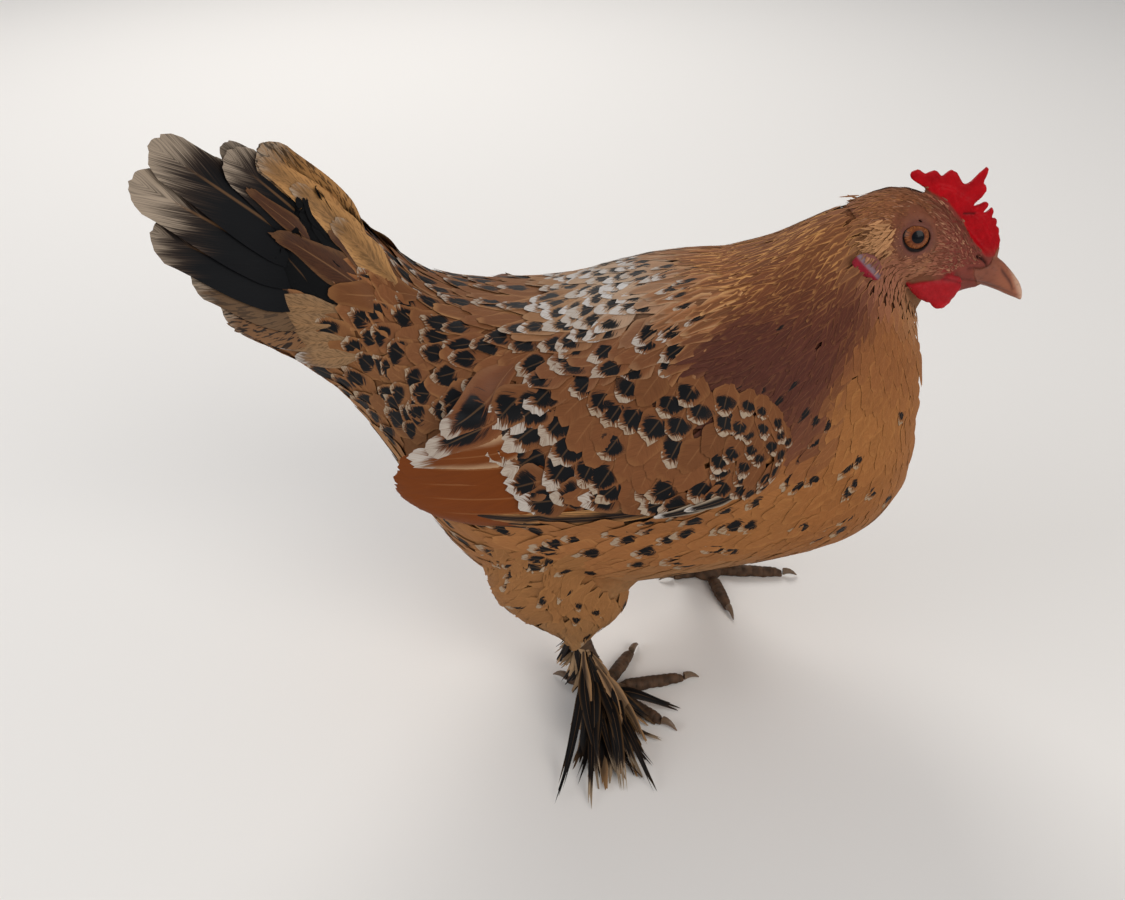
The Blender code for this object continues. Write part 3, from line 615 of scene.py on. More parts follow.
# How the coat looks from place to place. Each row: where it is (x, distance from the middle, z) and how far
# it reaches, in millimetres; a feather's gap from the next, length, width and taper; its ground colour; the
# share of feathers with a dark spot; the spot, its pale tip, how white that is, the dark middle stripe, the
# gilding; and the turn of the feather down from the body's own lie, in radians.
COAT = (
    ((95, 3, 197), 13, 1.5, 5, 1.5, 0.5, (132, 82, 54), 0, 0, 0, 0, 0.25, 0.35, 0),
    ((105, 13, 190), 9, 1.4, 3.4, 1.3, 0.5, (126, 76, 52), 0, 0, 0, 0, 0.2, 0.1, 0),
    ((92, 15, 184), 7, 1.4, 4.5, 1.5, 0.5, (150, 108, 74), 0, 0, 0, 0, 0, 0.2, 0),
    ((101, 15, 173), 9, 1.4, 3.6, 1.2, 0.6, (138, 88, 68), 0, 0, 0, 0, 0, 0.2, 0),
    ((112, 10, 163), 10, 1.5, 4.2, 1.3, 0.6, (150, 108, 76), 0, 0, 0, 0, 0, 0.2, 0),
    # The next three rows run along the top of the neck: their strong gilding is partly the hackles' own gold
    # and partly a painted highlight of the light from behind.
    ((71, 2, 185), 16, 2.1, 12, 2.7, 0.8, (124, 76, 46), 0, 0, 0, 0, 0.25, 0.6, 0),
    ((50, 4, 175), 15, 2.6, 19, 3.6, 0.8, (136, 82, 46), 0, 0, 0, 0, 0.35, 0.7, 0),
    ((34, 12, 169), 12, 3.3, 21, 4.6, 0.7, (148, 94, 56), 0.15, 0.5, 0.3, 0.6, 0.5, 0.6, 0.1),
    ((69, 19, 175), 13, 2.2, 13, 2.9, 0.8, (100, 56, 36), 0, 0, 0, 0, 0.20, 0.28, 0),
    ((78, 26, 166), 11, 2.2, 13, 3, 0.8, (84, 44, 33), 0, 0, 0, 0, 0.15, 0.06, 0),
    ((64, 37, 157), 14, 2.6, 17, 3.7, 0.8, (82, 44, 35), 0.10, 0.6, 0, 0, 0.15, 0.04, 0),
    ((55, 49, 145), 12, 3, 18, 4.6, 0.7, (80, 45, 35), 0.25, 0.7, 0.05, 0, 0.15, 0.04, 0.1),
    ((72, 47, 134), 9, 3.2, 16, 5, 0.6, (98, 58, 42), 0.25, 0.4, 0.05, 0, 0.1, 0.05, 0),
    ((98, 27, 150), 11, 3, 11, 4.6, 0.4, (134, 84, 48), 0, 0, 0, 0, 0.05, 0.1, 0),
    ((92, 42, 130), 14, 3.7, 14, 6.6, 0.3, (142, 92, 50), 0.05, 0.4, 0.4, 0, 0, 0.1, 0),
    ((84, 50, 108), 14, 4.2, 15, 7.5, 0.2, (136, 86, 46), 0.35, 0.45, 0.5, 0, 0, 0.1, 0),
    ((108, 5, 128), 20, 3.8, 14, 6.6, 0.3, (142, 92, 52), 0.06, 0.4, 0.4, 0, 0, 0.1, 0),
    ((62, 57, 106), 14, 4.3, 15, 7.5, 0.2, (144, 94, 52), 0.40, 0.5, 0.45, 0, 0, 0.1, 0),
    ((60, 58, 124), 10, 4, 14, 7.2, 0.2, (138, 88, 50), 0.60, 0.6, 0.7, 0.1, 0, 0.1, 0.1),
    # The next three rows are the cape between the shoulders: their pale ground and white tips are partly the
    # feathers' own colour and partly a painted highlight of the light from above.
    ((29, 8, 170), 12, 4, 17, 6.6, 0.35, (160, 124, 94), 0.80, 0.6, 1, 1, 0.1, 0.3, 0.1),
    ((11, 10, 166), 13, 4.2, 17, 7.6, 0.2, (176, 150, 126), 1, 0.65, 1, 1, 0, 0.2, 0.1),
    ((-4, 14, 162), 12, 4.4, 18, 8, 0.2, (150, 112, 78), 0.88, 0.7, 0.9, 0.9, 0, 0.2, 0.2),
    ((14, 34, 161), 10, 4.6, 18, 7.8, 0.3, (116, 72, 44), 0.45, 0.75, 0.5, 0.4, 0.1, 0.2, 0.35),
    ((-3, 34, 156), 10, 4.8, 19, 9, 0.2, (112, 70, 44), 0.80, 0.8, 0.8, 0.4, 0, 0.1, 0.35),
    ((-24, 3, 159), 13, 4.4, 18, 7.2, 0.3, (120, 78, 48), 0.60, 0.65, 0.35, 0.4, 0.05, 0.3, 0.05),
    ((-46, 3, 159), 13, 4.4, 19, 7.2, 0.3, (118, 76, 46), 0.60, 0.65, 0.30, 0.4, 0.05, 0.3, 0.05),
    ((-30, 28, 155), 14, 5, 18, 8.6, 0.25, (116, 72, 44), 0.60, 0.95, 0.25, 0.2, 0, 0.15, 0.3),
    ((-54, 30, 153), 14, 5, 18, 8.8, 0.2, (116, 74, 46), 0.78, 1, 0.25, 0.1, 0, 0.1, 0.4),
    ((-50, 44, 138), 14, 5, 18, 9, 0.2, (116, 74, 46), 0.85, 1, 0.30, 0.1, 0, 0.1, 0.5),
    ((-70, 36, 128), 14, 5, 17, 9, 0.2, (118, 78, 48), 0.92, 1, 0.30, 0.1, 0, 0.1, 0.5),
    ((-88, 26, 138), 14, 5.4, 18, 9.4, 0.2, (122, 80, 48), 0.88, 1, 0.28, 0.1, 0, 0.1, 0.3),
    ((-74, 18, 165), 12, 4.8, 20, 8.6, 0.3, (122, 76, 46), 0.50, 0.95, 0.22, 0.2, 0, 0.2, 0.3),
    ((-94, 18, 180), 14, 5, 22, 9, 0.3, (122, 80, 52), 0.45, 0.8, 0.25, 0.1, 0.1, 0.2, 0.1),
    ((-98, 2, 200), 12, 4.6, 24, 7.5, 0.4, (150, 108, 68), 0.25, 0.6, 0.1, 0.4, 0.1, 0.3, 0),
    ((-106, 24, 152), 14, 5, 18, 9, 0.2, (128, 88, 58), 0.85, 0.8, 0.4, 0.1, 0, 0.1, 0.1),
    ((-118, 10, 148), 14, 5, 20, 8.5, 0.3, (124, 88, 60), 0.20, 0.6, 0.3, 0.2, 0, 0.1, 0),
    ((-94, 4, 116), 16, 4.8, 20, 8, 0.4, (146, 104, 68), 0.25, 0.6, 0.3, 0.1, 0, 0.1, 0),
    ((30, 58, 96), 14, 4.6, 16, 8.2, 0.25, (142, 92, 52), 0.50, 0.6, 0.6, 0.1, 0, 0.1, 0),
    ((2, 56, 84), 16, 4.9, 18, 8.6, 0.3, (146, 96, 56), 0.30, 0.6, 0.5, 0.1, 0, 0.1, 0),
    ((-26, 52, 76), 16, 4.9, 19, 8.6, 0.35, (144, 96, 56), 0.30, 0.6, 0.5, 0.1, 0, 0.1, 0.05),
    ((-46, 42, 70), 16, 4.8, 20, 8, 0.45, (142, 96, 58), 0.30, 0.6, 0.4, 0.1, 0, 0.1, 0.1),
    ((20, 6, 52), 30, 5, 19, 8, 0.45, (150, 108, 70), 0.08, 0.5, 0.4, 0, 0, 0.1, 0),
    ((80, 5, 88), 22, 4.6, 16, 7.8, 0.3, (142, 94, 54), 0.20, 0.5, 0.5, 0, 0, 0.1, 0),
    ((-45, 5, 44), 26, 4.8, 22, 7.5, 0.6, (158, 118, 80), 0.05, 0.5, 0.3, 0, 0, 0.1, 0),
    ((-72, 4, 78), 22, 4.8, 22, 7.8, 0.5, (150, 108, 70), 0.15, 0.5, 0.3, 0, 0, 0.1, 0),
)
COAT_PLACE = np.array([row[0] for row in COAT], float)
COAT_REACH = np.array([row[1] for row in COAT], float)
COAT_SIZES = np.array([row[2:6] for row in COAT], float)
COAT_TINT = np.array([tone(*row[6]) for row in COAT])
COAT_MARKS = np.array([row[7:14] for row in COAT], float)


def coat_here(points):
    """Means of the coat table's rows at some points, weighted by how near each row's place is:
    sizes, ground colour, and marks."""
    local = np.stack([points[..., 0], np.abs(points[..., 1] - MIDDLE_Y), points[..., 2]], -1) / MM
    gap = np.linalg.norm(local[..., None, :] - COAT_PLACE, axis=-1) / COAT_REACH
    weight = np.exp(-(gap**2) * 1.4) + 1e-4 / (0.05 + gap**6)
    weight = weight / weight.sum(-1, keepdims=True)
    return weight @ COAT_SIZES, weight @ COAT_TINT, weight @ COAT_MARKS


def dressed_for(tint, marks, taper, **changes):
    """Each feather's own build and colours, drawn at random round those of its place."""
    count = len(tint)
    marks = np.zeros((count, 7)) if marks is None else marks
    spotted = rng.uniform(0, 1, count) < marks[:, 0]
    part = rng.uniform(0.75, 1.2, count)
    feather = dict(
        sink=np.full(count, -1.1 * MM), lift=rng.uniform(-0.05, 0.25, count) * MM,
        taper=np.broadcast_to(np.clip(taper, 0, 1), count),
        cup=rng.uniform(0.02, 0.08, count), twist=rng.normal(0.0, 0.02, count),
        curl=rng.uniform(-0.1, 0.1, count) * MM,
        fray=rng.uniform(0.02, 0.05, count), tint=tint * rng.uniform(0.94, 1.06, (count, 1)),
        spot=np.where(spotted, np.clip(marks[:, 1] * part, 0, 1), 0.0),
        pale=np.where(spotted, np.clip(marks[:, 2] * part, 0, 1), 0.0))
    for k, key, low, high in ((3, "white", 0.6, 1.3), (4, "stripe", 0.5, 1.4), (5, "gild", 0.4, 1.5)):
        feather[key] = np.clip(marks[:, k] * rng.uniform(low, high, count), 0, 1)
    feather["freckle"], feather["fine"] = np.zeros(count), np.full(count, 0.8)
    for key, value in changes.items():
        feather[key] = np.broadcast_to(value, count)
    return feather


def sway(count, spread):
    """Random turns or shifts about none."""
    return rng.normal(0.0, spread, count)


# ---------------------------------------------------------------- wings

# The folded wing's upper and lower edge from shoulder to tip: upper x, upper z, lower x, lower z, in
# millimetres.
WING_LINE = np.array((
    (60.4, 134, 59.9, 124.5), (53.4, 145, 54.9, 113.5), (39.4, 151.5, 43.4, 103.5),
    (18.4, 153, 23.4, 97.5), (-5.6, 150.5, -0.6, 94.5), (-27.6, 147, -23.6, 94), (-47.6, 143, -44.6, 91.5),
    (-64.6, 137, -62.1, 91.5), (-74.6, 128, -74.1, 96.5), (-78.1, 119.5, -78.1, 106),
)) * MM
WING_ROWS = 90
WING_COLS = 36


def side_sheet(side, nodes, low, high, fill):
    """Distance across the bird of some nodes' outer faces, on a level grid of (x, z) with a step of 2 mm,
    by rays from one side. Where no node lies it goes on as a cubic fitted to the rest, or as the nearest
    value."""
    tree = tree_of(*nodes)
    x, z = (np.arange(low[k], high[k], 2.0) * MM for k in (0, 1))
    y = np.full((len(x), len(z)), np.nan)
    for i, j in np.ndindex(y.shape):
        hit = tree.ray_cast(Vector((x[i], side * 0.2, z[j])), Vector((0, -side, 0)))[0]
        y[i, j] = hit.y if hit is not None and hit.y * side > fill * MM else np.nan
    known = ~np.isnan(y)
    gx, gz = np.meshgrid(x, z, indexing="ij")
    terms = np.stack([gx**a * gz**b for a in range(4) for b in range(4 - a)], -1)
    fit = np.linalg.lstsq(terms[known], y[known], rcond=None)[0]
    return x, z, blurred(np.where(known, y, terms @ fit), 3, False)


def on_sheet(sheet, x, z):
    """The sheet's distance across the bird at some places, straight between its grid points."""
    gx, gz, y = sheet
    a = np.clip((x - gx[0]) / (gx[1] - gx[0]), 0, len(gx) - 1.001)
    b = np.clip((z - gz[0]) / (gz[1] - gz[0]), 0, len(gz) - 1.001)
    i, j = a.astype(int), b.astype(int)
    f, g = a - i, b - j
    return ((y[i, j] * (1 - f) + y[i + 1, j] * f) * (1 - g)
            + (y[i, j + 1] * (1 - f) + y[i + 1, j + 1] * f) * g)


def wing_surface(sheet):
    """The folded wing's outer face: straight lines from its upper to its lower edge, carried out to the
    sheet."""
    rows = rows_at(WING_LINE, np.linspace(0.05, len(WING_LINE) - 1.05, WING_ROWS))
    v = np.linspace(0.03, 0.97, WING_COLS)
    x, z = (rows[:, k:k + 1] + (rows[:, k + 2:k + 3] - rows[:, k:k + 1]) * v for k in (0, 1))
    return Surface(np.stack([x, on_sheet(sheet, x, z), z], -1), False, np.array([0.0, MIDDLE_Y, 0.11]))


# Flight feathers of the folded wing: root x, root z, tip x, tip z, sag of the shaft, width, depth under the
# wing's face, in millimetres, from the lowest outward.
FLIGHT = dict(
    primary=((46, 106.0, -52, 93.5, -3.0, 8.5, 1.9), (44, 109.0, -57, 97.0, -3.5, 8.5, 1.5),
             (40, 111.5, -60, 100.0, -3.5, 8.5, 1.1)),
    secondary=((-2, 112.0, -68, 97.0, -2.0, 16.0, 0.9), (-5, 117.5, -74, 102.5, -1.5, 16.0, 0.65),
               (-8, 123.0, -75, 108.5, -1.0, 16.0, 0.4), (-8, 128.5, -72, 114.5, -0.5, 15.0, 0.15)),
    tertial=((-9, 137.5, -68, 118.5, -1.0, 11.0, -0.1),),
    inner=((-28, 143.0, -61, 122.5, 1.5, 11.0, -0.3), (-32, 148.0, -56, 131.0, 1.0, 10.0, -0.4)),
    blade=((40, 111.5, 15, 105.5, -0.5, 5.5, -0.5), (45, 113.5, 25, 108.5, -0.5, 5.5, -0.7)),
)
TRAITS = ("spot", "pale", "white", "stripe", "gild", "freckle", "taper")
KINDS = {name: (tone(*tint), dict(zip(TRAITS, traits))) for name, tint, *traits in (
    ("primary", (142, 100, 60), 0.0, 0.0, 0.1, 1.0, 0.45, 0.55, 0.45),
    ("secondary", (108, 52, 12), 0.0, 0.0, 0.1, 0.0, 0.0, 0.0, 0.15),
    ("tertial", (106, 53, 16), 0.0, 0.45, 0.6, 0.0, 0.8, 0.0, 0.1),
    ("inner", (108, 62, 34), 0.9, 0.6, 0.4, 0.2, 0.1, 0.0, 0.15),
    ("blade", (18, 17, 18), 0.0, 0.35, 0.9, 0.2, 0.9, 0.0, 0.5),
    ("buff", (168, 124, 76), 0.0, 0.2, 0.2, 0.35, 0.3, 0.35, 0.35),
    ("brown", (72, 44, 29), 0.0, 0.0, 0.1, 0.0, 0.1, 0.25, 0.5),
    ("ginger", (104, 64, 36), 0.0, 0.0, 0.1, 0.0, 0.1, 0.0, 0.2),
    ("cream", (138, 106, 74), 0.0, 0.6, 0.8, 0.0, 0.1, 0.4, 0.1),
)}


def pressed_feather(side, sheet, row, kind, belly=0.40, root=2.2):
    """A long feather whose shaft runs from root to tip in a shallow arc, its vane pressed to a sheet at its
    own depth, a little fuller along the shaft and sunk at the root."""
    x0, z0, x1, z1, sag, wide, deep = row
    s = np.linspace(0, 1, 12)
    x = (x0 + (x1 - x0) * s) * MM
    z = (z0 + (z1 - z0) * s + sag * 4 * s * (1 - s)) * MM
    path = np.stack([x, on_sheet(sheet, x, z), z], -1)[None]
    out = np.broadcast_to(np.array([0.0, side, 0.0]), path.shape)
    tint, traits = KINDS[kind]
    feather = dressed_for(tint[None], None, sink=0.0, lift=0.0, cup=0.0, curl=0.0, fray=0.010, fine=2.2,
                          twist=0.0, **traits)
    made = vanes(path, out, run(path), np.array([wide * MM]), feather, stations=26, columns=13)
    points, (across, along) = made["points"], made["vane"].T
    above = belly * (1 - (2 * across - 1) ** 2) - deep - root * (1 - along) ** 2
    points[:, 1] = on_sheet(sheet, points[:, 0], points[:, 2]) + side * above * MM
    return made


def bake_strips(bunches):
    """Each long feather's own strip on the bake map."""
    for order, made in enumerate(bunches):
        across, along = made["vane"].T
        made["bake"] = np.stack([along * 0.94 + 0.03, (across * 0.8 + 0.1 + order) / len(bunches)], -1)
    return bunches


def flight_feathers(side, sheet):
    """The long feathers of one wing."""
    return bake_strips([pressed_feather(side, sheet, row, kind) for kind, rows in FLIGHT.items()
                        for row in rows])


# ---------------------------------------------------------------- tail

TAIL_ROOT = np.array((-68.0, 0.0, 148.0)) * MM
TAIL_SHIFT = np.array((-3.587, -0.825, 0.0)) * MM
TAIL_ANGLES = (57.0, 19.0)
TAIL_LENGTHS = dict(right=(81.0, 87.0, 107.0, 106.0, 94.0, 78.0, 66.0),
                    left=(81.0, 88.0, 89.0, 93.0, 88.0, 76.0, 64.0))
TAIL_SPREAD = 25.0 * MM
TAIL_SWING = math.radians(13.0)
TAIL_SWING_FROM = -55.0 * MM
TAIL_SWING_OVER = 60.0 * MM


def swung(points):
    """Points behind the rump turned to the bird's right, little by little, and set in the bird's frame."""
    points = points.copy()
    turn = TAIL_SWING * smooth((TAIL_SWING_FROM - points[..., 0]) / TAIL_SWING_OVER)
    x, y = points[..., 0] - TAIL_SWING_FROM, points[..., 1].copy()
    points[..., 0] = TAIL_SWING_FROM + x * np.cos(turn) - y * np.sin(turn)
    points[..., 1] = x * np.sin(turn) + y * np.cos(turn)
    return points + TAIL_SHIFT


# How deep each main tail feather's pale tip is, from the top one down.
TAIL_PALE = (0.42, 0.38, 0.62, 0.95, 0.30, 0.60, 0.40)
# The top tail feather and the lowest are buff with dark flecks; the others are black.
TAIL_TINTS = {0: (tone(168, 124, 76), 0.75), 5: (tone(104, 80, 58), 0.5), 6: (tone(120, 86, 58), 0.9)}
# Coverts at the tail's root, laid out as the flight feathers are.
TAIL_COVERTS = dict(
    buff=((-84, 180, -114, 213.0, 1.0, 9.0, -0.6), (-78, 174, -105, 203.5, 1.0, 8.0, -1.0),
          (-73, 168, -93, 191.0, 0.5, 8.0, -1.4)),
    brown=((-80, 167, -112, 189.0, 0.5, 11.0, -0.6), (-98, 182, -118, 205.0, 0.0, 5.0, -0.5),
           (-72, 168, -94, 188.0, 0.5, 8.5, -0.8)),
    ginger=((-66, 164, -95, 169.0, 1.0, 10.5, -0.8),),
    cream=((-92, 162, -121, 164.0, 0.5, 9.0, -0.3), (-90, 157, -120.0, 157.0, 0.0, 9.0, -0.4),
           (-88, 151, -117.0, 149.0, 0.0, 9.5, -0.5), (-86, 146, -110.0, 141.5, 0.0, 9.0, -0.6)),
)


def tail_feathers(side, name):
    """The main tail feathers of one side: shafts fan out from the tail's root and stand like half a tent.
    Then the coverts over their roots."""
    lengths = np.array(TAIL_LENGTHS[name]) * MM
    high, low = math.radians(TAIL_ANGLES[0]), math.radians(TAIL_ANGLES[1])
    bunches = []
    for order, long in enumerate(lengths):
        angle = high + (low - high) * order / (len(lengths) - 1)
        s = np.linspace(0, 1, 14)
        r = 26 * MM + (long - 26 * MM) * s
        bend = angle + 0.05 * (s - 1) * (order - 2.5)
        fall = (high - angle) / (high - low)
        out = (1.2 * MM + TAIL_SPREAD * 0.9 * max(fall, 0.0) ** 0.8 * (r / 0.1) ** 1.3
               + 0.5 * MM * order * (1 - s))
        path = TAIL_ROOT + np.stack([-r * np.cos(bend), side * out, r * np.sin(bend)], -1)
        face = np.broadcast_to(unit(np.array([0.35, side * 1.0, 0.55 + 0.25 * fall])), path.shape)
        ends = swung(np.stack([path, path + face * MM]))
        path, face = ends[:1], unit(ends[1:] - ends[:1])
        wide = (19.0 + 2.0 * (order in (2, 3, 4))) * MM
        colour, flecks = TAIL_TINTS.get(order, (tone(8, 10, 14), 0.0))
        feather = dressed_for(colour[None], None, 0.05, sink=-0.3 * MM, lift=0.1 * MM, cup=0.16, curl=0.0,
                              fray=0.004, fine=3.4, white=0.2, spot=0.0, pale=TAIL_PALE[order], stripe=0.0,
                              gild=0.0, freckle=flecks, twist=0.04 * side)
        bunches.append(vanes(path, face, run(path), np.array([wide]), feather, stations=34, columns=15))
    sheet = side_sheet(side, (f"tail_fan_{name}", "tail_coverts", "trunk"), (-152, 112), (-60, 224), -30)
    # the swung tail stands a little lower on the left
    drop = np.array([0, 5.0, 0, 5.0, 0, 0, 0]) * (side > 0)
    for kind, rows in TAIL_COVERTS.items():
        bunches += [pressed_feather(side, sheet, row - drop, kind, 0.5, 1.5) for row in rows]
    return bake_strips(bunches)


# ---------------------------------------------------------------- legs and feet

LEGS = dict(
    right=dict(foot=(0.4, -39.3), hock=(-10.6, -37.8), boot=(-46.0, -90.0)),
    left=dict(foot=(50.4, 39.7), hock=(39.4, 37.2), boot=(58.0, 102.0)),
)
# How far the feathers of a boot reach, from its front to its back, and the height of the hock over the
# foot.
BOOT_LENGTHS = (24.0, 30.0, 38.0, 61.0, 46.0)
SHANK = 31 * MM


def thigh_surface(name):
    """The flank and the feathered thigh as one drape: level rays come in to the leg's middle line from
    outside."""
    points = node_mesh(f"thigh_{name}")[0]
    tree = tree_of(f"thigh_{name}", "trunk")
    low, high = points[:, 2].min() + 0.5 * MM, 84 * MM
    levels = np.linspace(high, low, 34)
    foot = np.array(LEGS[name]["hock"]) * MM
    top = points[points[:, 2] > points[:, 2].max() - 8 * MM].mean(0)[:2]
    share = smooth((60 * MM - levels) / (60 * MM - low))[:, None]
    middle = np.hstack([top + (foot - top) * share, levels[:, None]])
    ways = np.hstack([flat_way(2 * np.pi * np.arange(56) / 56), np.zeros((56, 1))])
    reach = np.full((34, 56), 6 * MM)
    for i, j in np.ndindex(reach.shape):
        back = tree.ray_cast(Vector(middle[i] + ways[j] * 0.1), Vector(-ways[j]))[3]
        if back is not None:
            reach[i, j] = np.clip(0.1 - back, 3 * MM, 34 * MM)
    spine = middle[:, None, :]
    return Surface(spine + ways[None] * blurred(reach, 3)[..., None], True, spine), reach


def flat_way(angle):
    """Level directions at some angles."""
    return np.stack([np.cos(angle), np.sin(angle)], -1)


def square_to(paths, out):
    """Directions turned square to the shafts."""
    ahead = unit(np.gradient(paths, axis=1))
    return unit(out - ahead * (out * ahead).sum(-1, keepdims=True))


def drawn(count, low, high, *more):
    """Evenly random numbers, one for each of `count` feathers."""
    return rng.uniform(low, high, (count, *more))


def boot_feathers(name):
    """Stiff feathers of the foot: from the outer side of the shank and foot they arch out and down to the
    floor. Then short feathers down the shank."""
    leg = LEGS[name]
    foot, hock = np.array(leg["foot"]) * MM, np.array(leg["hock"]) * MM
    start, end = (math.radians(a) for a in leg["boot"])
    count = 170
    share = (np.arange(count) + drawn(count, -0.4, 0.4)) / count
    angle = start + (end - start) * np.clip(share, 0, 1) + sway(count, 0.10)
    reach = (np.interp(share, np.linspace(0, 1, 5), BOOT_LENGTHS) * MM
             * rng.choice([1.0, 0.85, 0.65, 0.5, 0.4], count))
    height = drawn(count, 2.0, 25.0) * MM
    way = flat_way(angle)
    base = foot + (hock - foot) * (height / SHANK)[:, None] + way * 5.0 * MM
    s = np.linspace(0, 1, 9)
    flat = base[:, None, :] + way[:, None, :] * ((reach - 7 * MM)[:, None] * s)[..., None]
    side_way = np.stack([-way[:, 1], way[:, 0]], -1)
    bend = sway(count, 5.0 * MM)[:, None] * s**2 + sway(count, 1.6 * MM)[:, None] * np.sin(np.pi * s)
    flat = flat + side_way[:, None, :] * bend[..., None]
    rise = (height[:, None] * (1 - s) ** 1.7 + 7.0 * MM * np.sin(np.pi * s) * drawn(count, 0.0, 1.2, 1)
            + 1.2 * MM)
    path = np.concatenate([flat, rise[..., None]], -1)
    lean = (np.concatenate([side_way, np.zeros((count, 1))], -1)[:, None, :]
            * sway(count, 0.35)[:, None, None])
    face = square_to(path, np.broadcast_to(np.array([0, 0, 1.0]), path.shape) + lean)
    black = drawn(count, 0, 1) < 0.82
    tint = np.where(black[:, None], tone(13, 11, 11), tone(124, 98, 72)) * drawn(count, 0.7, 1.3, 1)
    feather = dressed_for(tint, None, 0.45, sink=0.0, lift=0.0, cup=0.25, curl=0.5 * MM, fray=0.09,
                          fine=1.6, twist=0.1)
    feather["gild"] = np.where(black, drawn(count, 0.0, 0.12), 0.2)
    feather["stripe"] = np.where(black, 0.0, drawn(count, 0.4, 1.0))
    feather["pale"] = np.where(black & (drawn(count, 0, 1) < 0.45), 0.4, 0.0)
    bake = np.stack([np.clip(share, 0.01, 0.99), height / SHANK], -1)
    made = [vanes(path, face, run(path), drawn(count, 2.6, 6.6) * MM, feather,
                  stations=11, columns=7, bake=bake, patch=0.009)]
    count = 120
    turn = drawn(count, 0, 1) * 2 * np.pi
    level = drawn(count, 9.0, 31.0) * MM
    outer = np.cos(turn - 0.5 * (start + end))
    level = np.where(outer < -0.2, np.maximum(level, 22 * MM), level)
    way = flat_way(turn)
    base = foot + (hock - foot) * (level / SHANK)[:, None] + way * 3.4 * MM
    long = drawn(count, 7.0, 13.0) * MM
    s = np.linspace(0, 1, 5)
    flat = base[:, None, :] + way[:, None, :] * (long[:, None] * 0.45 * s**1.3)[..., None]
    drop = np.maximum(level[:, None] - long[:, None] * 0.85 * s, 1.2 * MM)
    path = np.concatenate([flat, drop[..., None]], -1)
    face = square_to(path, np.concatenate([way, np.full((count, 1), 0.35)], -1)[:, None, :]
                     + np.zeros_like(path))
    black = drawn(count, 0, 1) < 0.45
    tint = np.where(black[:, None], tone(22, 17, 15), tone(146, 118, 88)) * drawn(count, 0.75, 1.2, 1)
    feather = dressed_for(tint, None, 0.6, sink=0.0, lift=0.3 * MM, cup=0.25, curl=0.3 * MM, fray=0.05,
                          fine=1.2, twist=0.1)
    bake = np.stack([turn / (2 * np.pi), level / SHANK], -1)
    made.append(vanes(path, face, long, drawn(count, 1.8, 3.6) * MM, feather,
                      stations=8, columns=5, bake=bake, patch=0.009))
    for bunch in made:
        bunch["points"][:, 2] = np.maximum(bunch["points"][:, 2], 0.3 * MM)
    return made


# ---------------------------------------------------------------- eyes

EYE_RADIUS = 6.2 * MM
GAZE = (0.02, 1.0, 0.24)


def eye_look():
    """Wet eye: a black pupil in an orange-brown iris with fine spokes and a dark rim, by angle from the
    gaze."""
    look = new_look("wet_eye")
    turn, away = flat_map(look.node_tree, "gaze")
    turn = turn * (2 * math.pi)
    around = (calc("COSINE", turn) * 7.0, calc("SINE", turn) * 7.0, away * 6.0)
    spokes = noise(look.node_tree, around, 1.6, 4.0)
    iris = blend(ramp(spokes, 0.35, 0.68), tone(90, 46, 26), tone(146, 86, 46))
    iris = blend(ramp(away, 0.115, 0.170), tone(98, 50, 28), iris)
    iris = blend(ramp(away, 0.205, 0.250), iris, tone(30, 20, 18))
    return shaded(look, {
        "Base Color": blend(ramp(away, 0.104, 0.114), tone(6, 8, 14), iris), "Roughness": 0.25,
        "Specular IOR Level": 0.1, "Coat Weight": 0.10, "Coat Roughness": 0.02})


def eye_centres():
    """Middle of each eye's CAD node, by its side."""
    return {side: np.mean(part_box(f"eye_{name}"), axis=0) for side, name in SIDES}


def from_eyes(points):
    """Distance from the nearer eye's middle, less across the bird than along it."""
    return np.min([np.linalg.norm((points - centre) * [1, 0.6, 1], axis=1)
                   for centre in eye_centres().values()], axis=0)


def eyeball(side, name, look):
    """Ball round the gaze: its radius swells by a bell over the pupil for the clear front of the eye."""
    gaze = unit(np.array(GAZE) * [1.0, side, 1.0])
    right = unit(np.cross(gaze, [0, 0, 1.0]))
    up = np.cross(right, gaze)
    away = np.linspace(0, np.pi, 40)[:, None, None]
    turn = np.linspace(0, 2 * np.pi, 49)[None, :, None]
    radius = EYE_RADIUS + 0.35 * MM * np.exp(-((away / 0.62) ** 4))
    ball = eye_centres()[side] + radius * (np.cos(away) * gaze + np.sin(away) * np.cos(turn) * right
                                           + np.sin(away) * np.sin(turn) * up)
    uv = np.concatenate(np.broadcast_arrays(turn / (2 * np.pi), away / np.pi), -1)
    made = mesh_object(f"eyeball_{name}", ball, grid_quads(40, 49), look, uvs={"gaze": uv})
    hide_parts(f"eye_{name}")
    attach(made, "root")


# ---------------------------------------------------------------- skin

def skin_look():
    """Skin: its colour lies in the paint attribute; pores, creases and granules come as bump, gloss as
    roughness."""
    look = new_look("skin")
    tree = look.node_tree
    place = put(tree, "TexCoord", None, "Object")
    granular, creased, roughness, _ = numbers(tree, "grain")
    blotch = noise(tree, place, 420.0, 3.0)
    beads = put(tree, "TexVoronoi", {"Vector": place, "Scale": 1500.0}, feature="SMOOTH_F1")
    fine = noise(tree, place, 2600.0, 4.0)
    light = (0.72 + blotch * 0.56) * (0.92 + fine * 0.16)
    height = beads * granular + fine * creased
    return shaded(look, {
        "Base Color": lit(painted(tree, "paint"), light), "Roughness": roughness,
        "Normal": put(tree, "Bump", {"Strength": 0.7, "Distance": 0.00022, "Height": height}),
        "Subsurface Weight": 0.12, "Subsurface Radius": (1.0, 0.3, 0.2), "Subsurface Scale": 0.0012,
        "Specular IOR Level": 0.08})


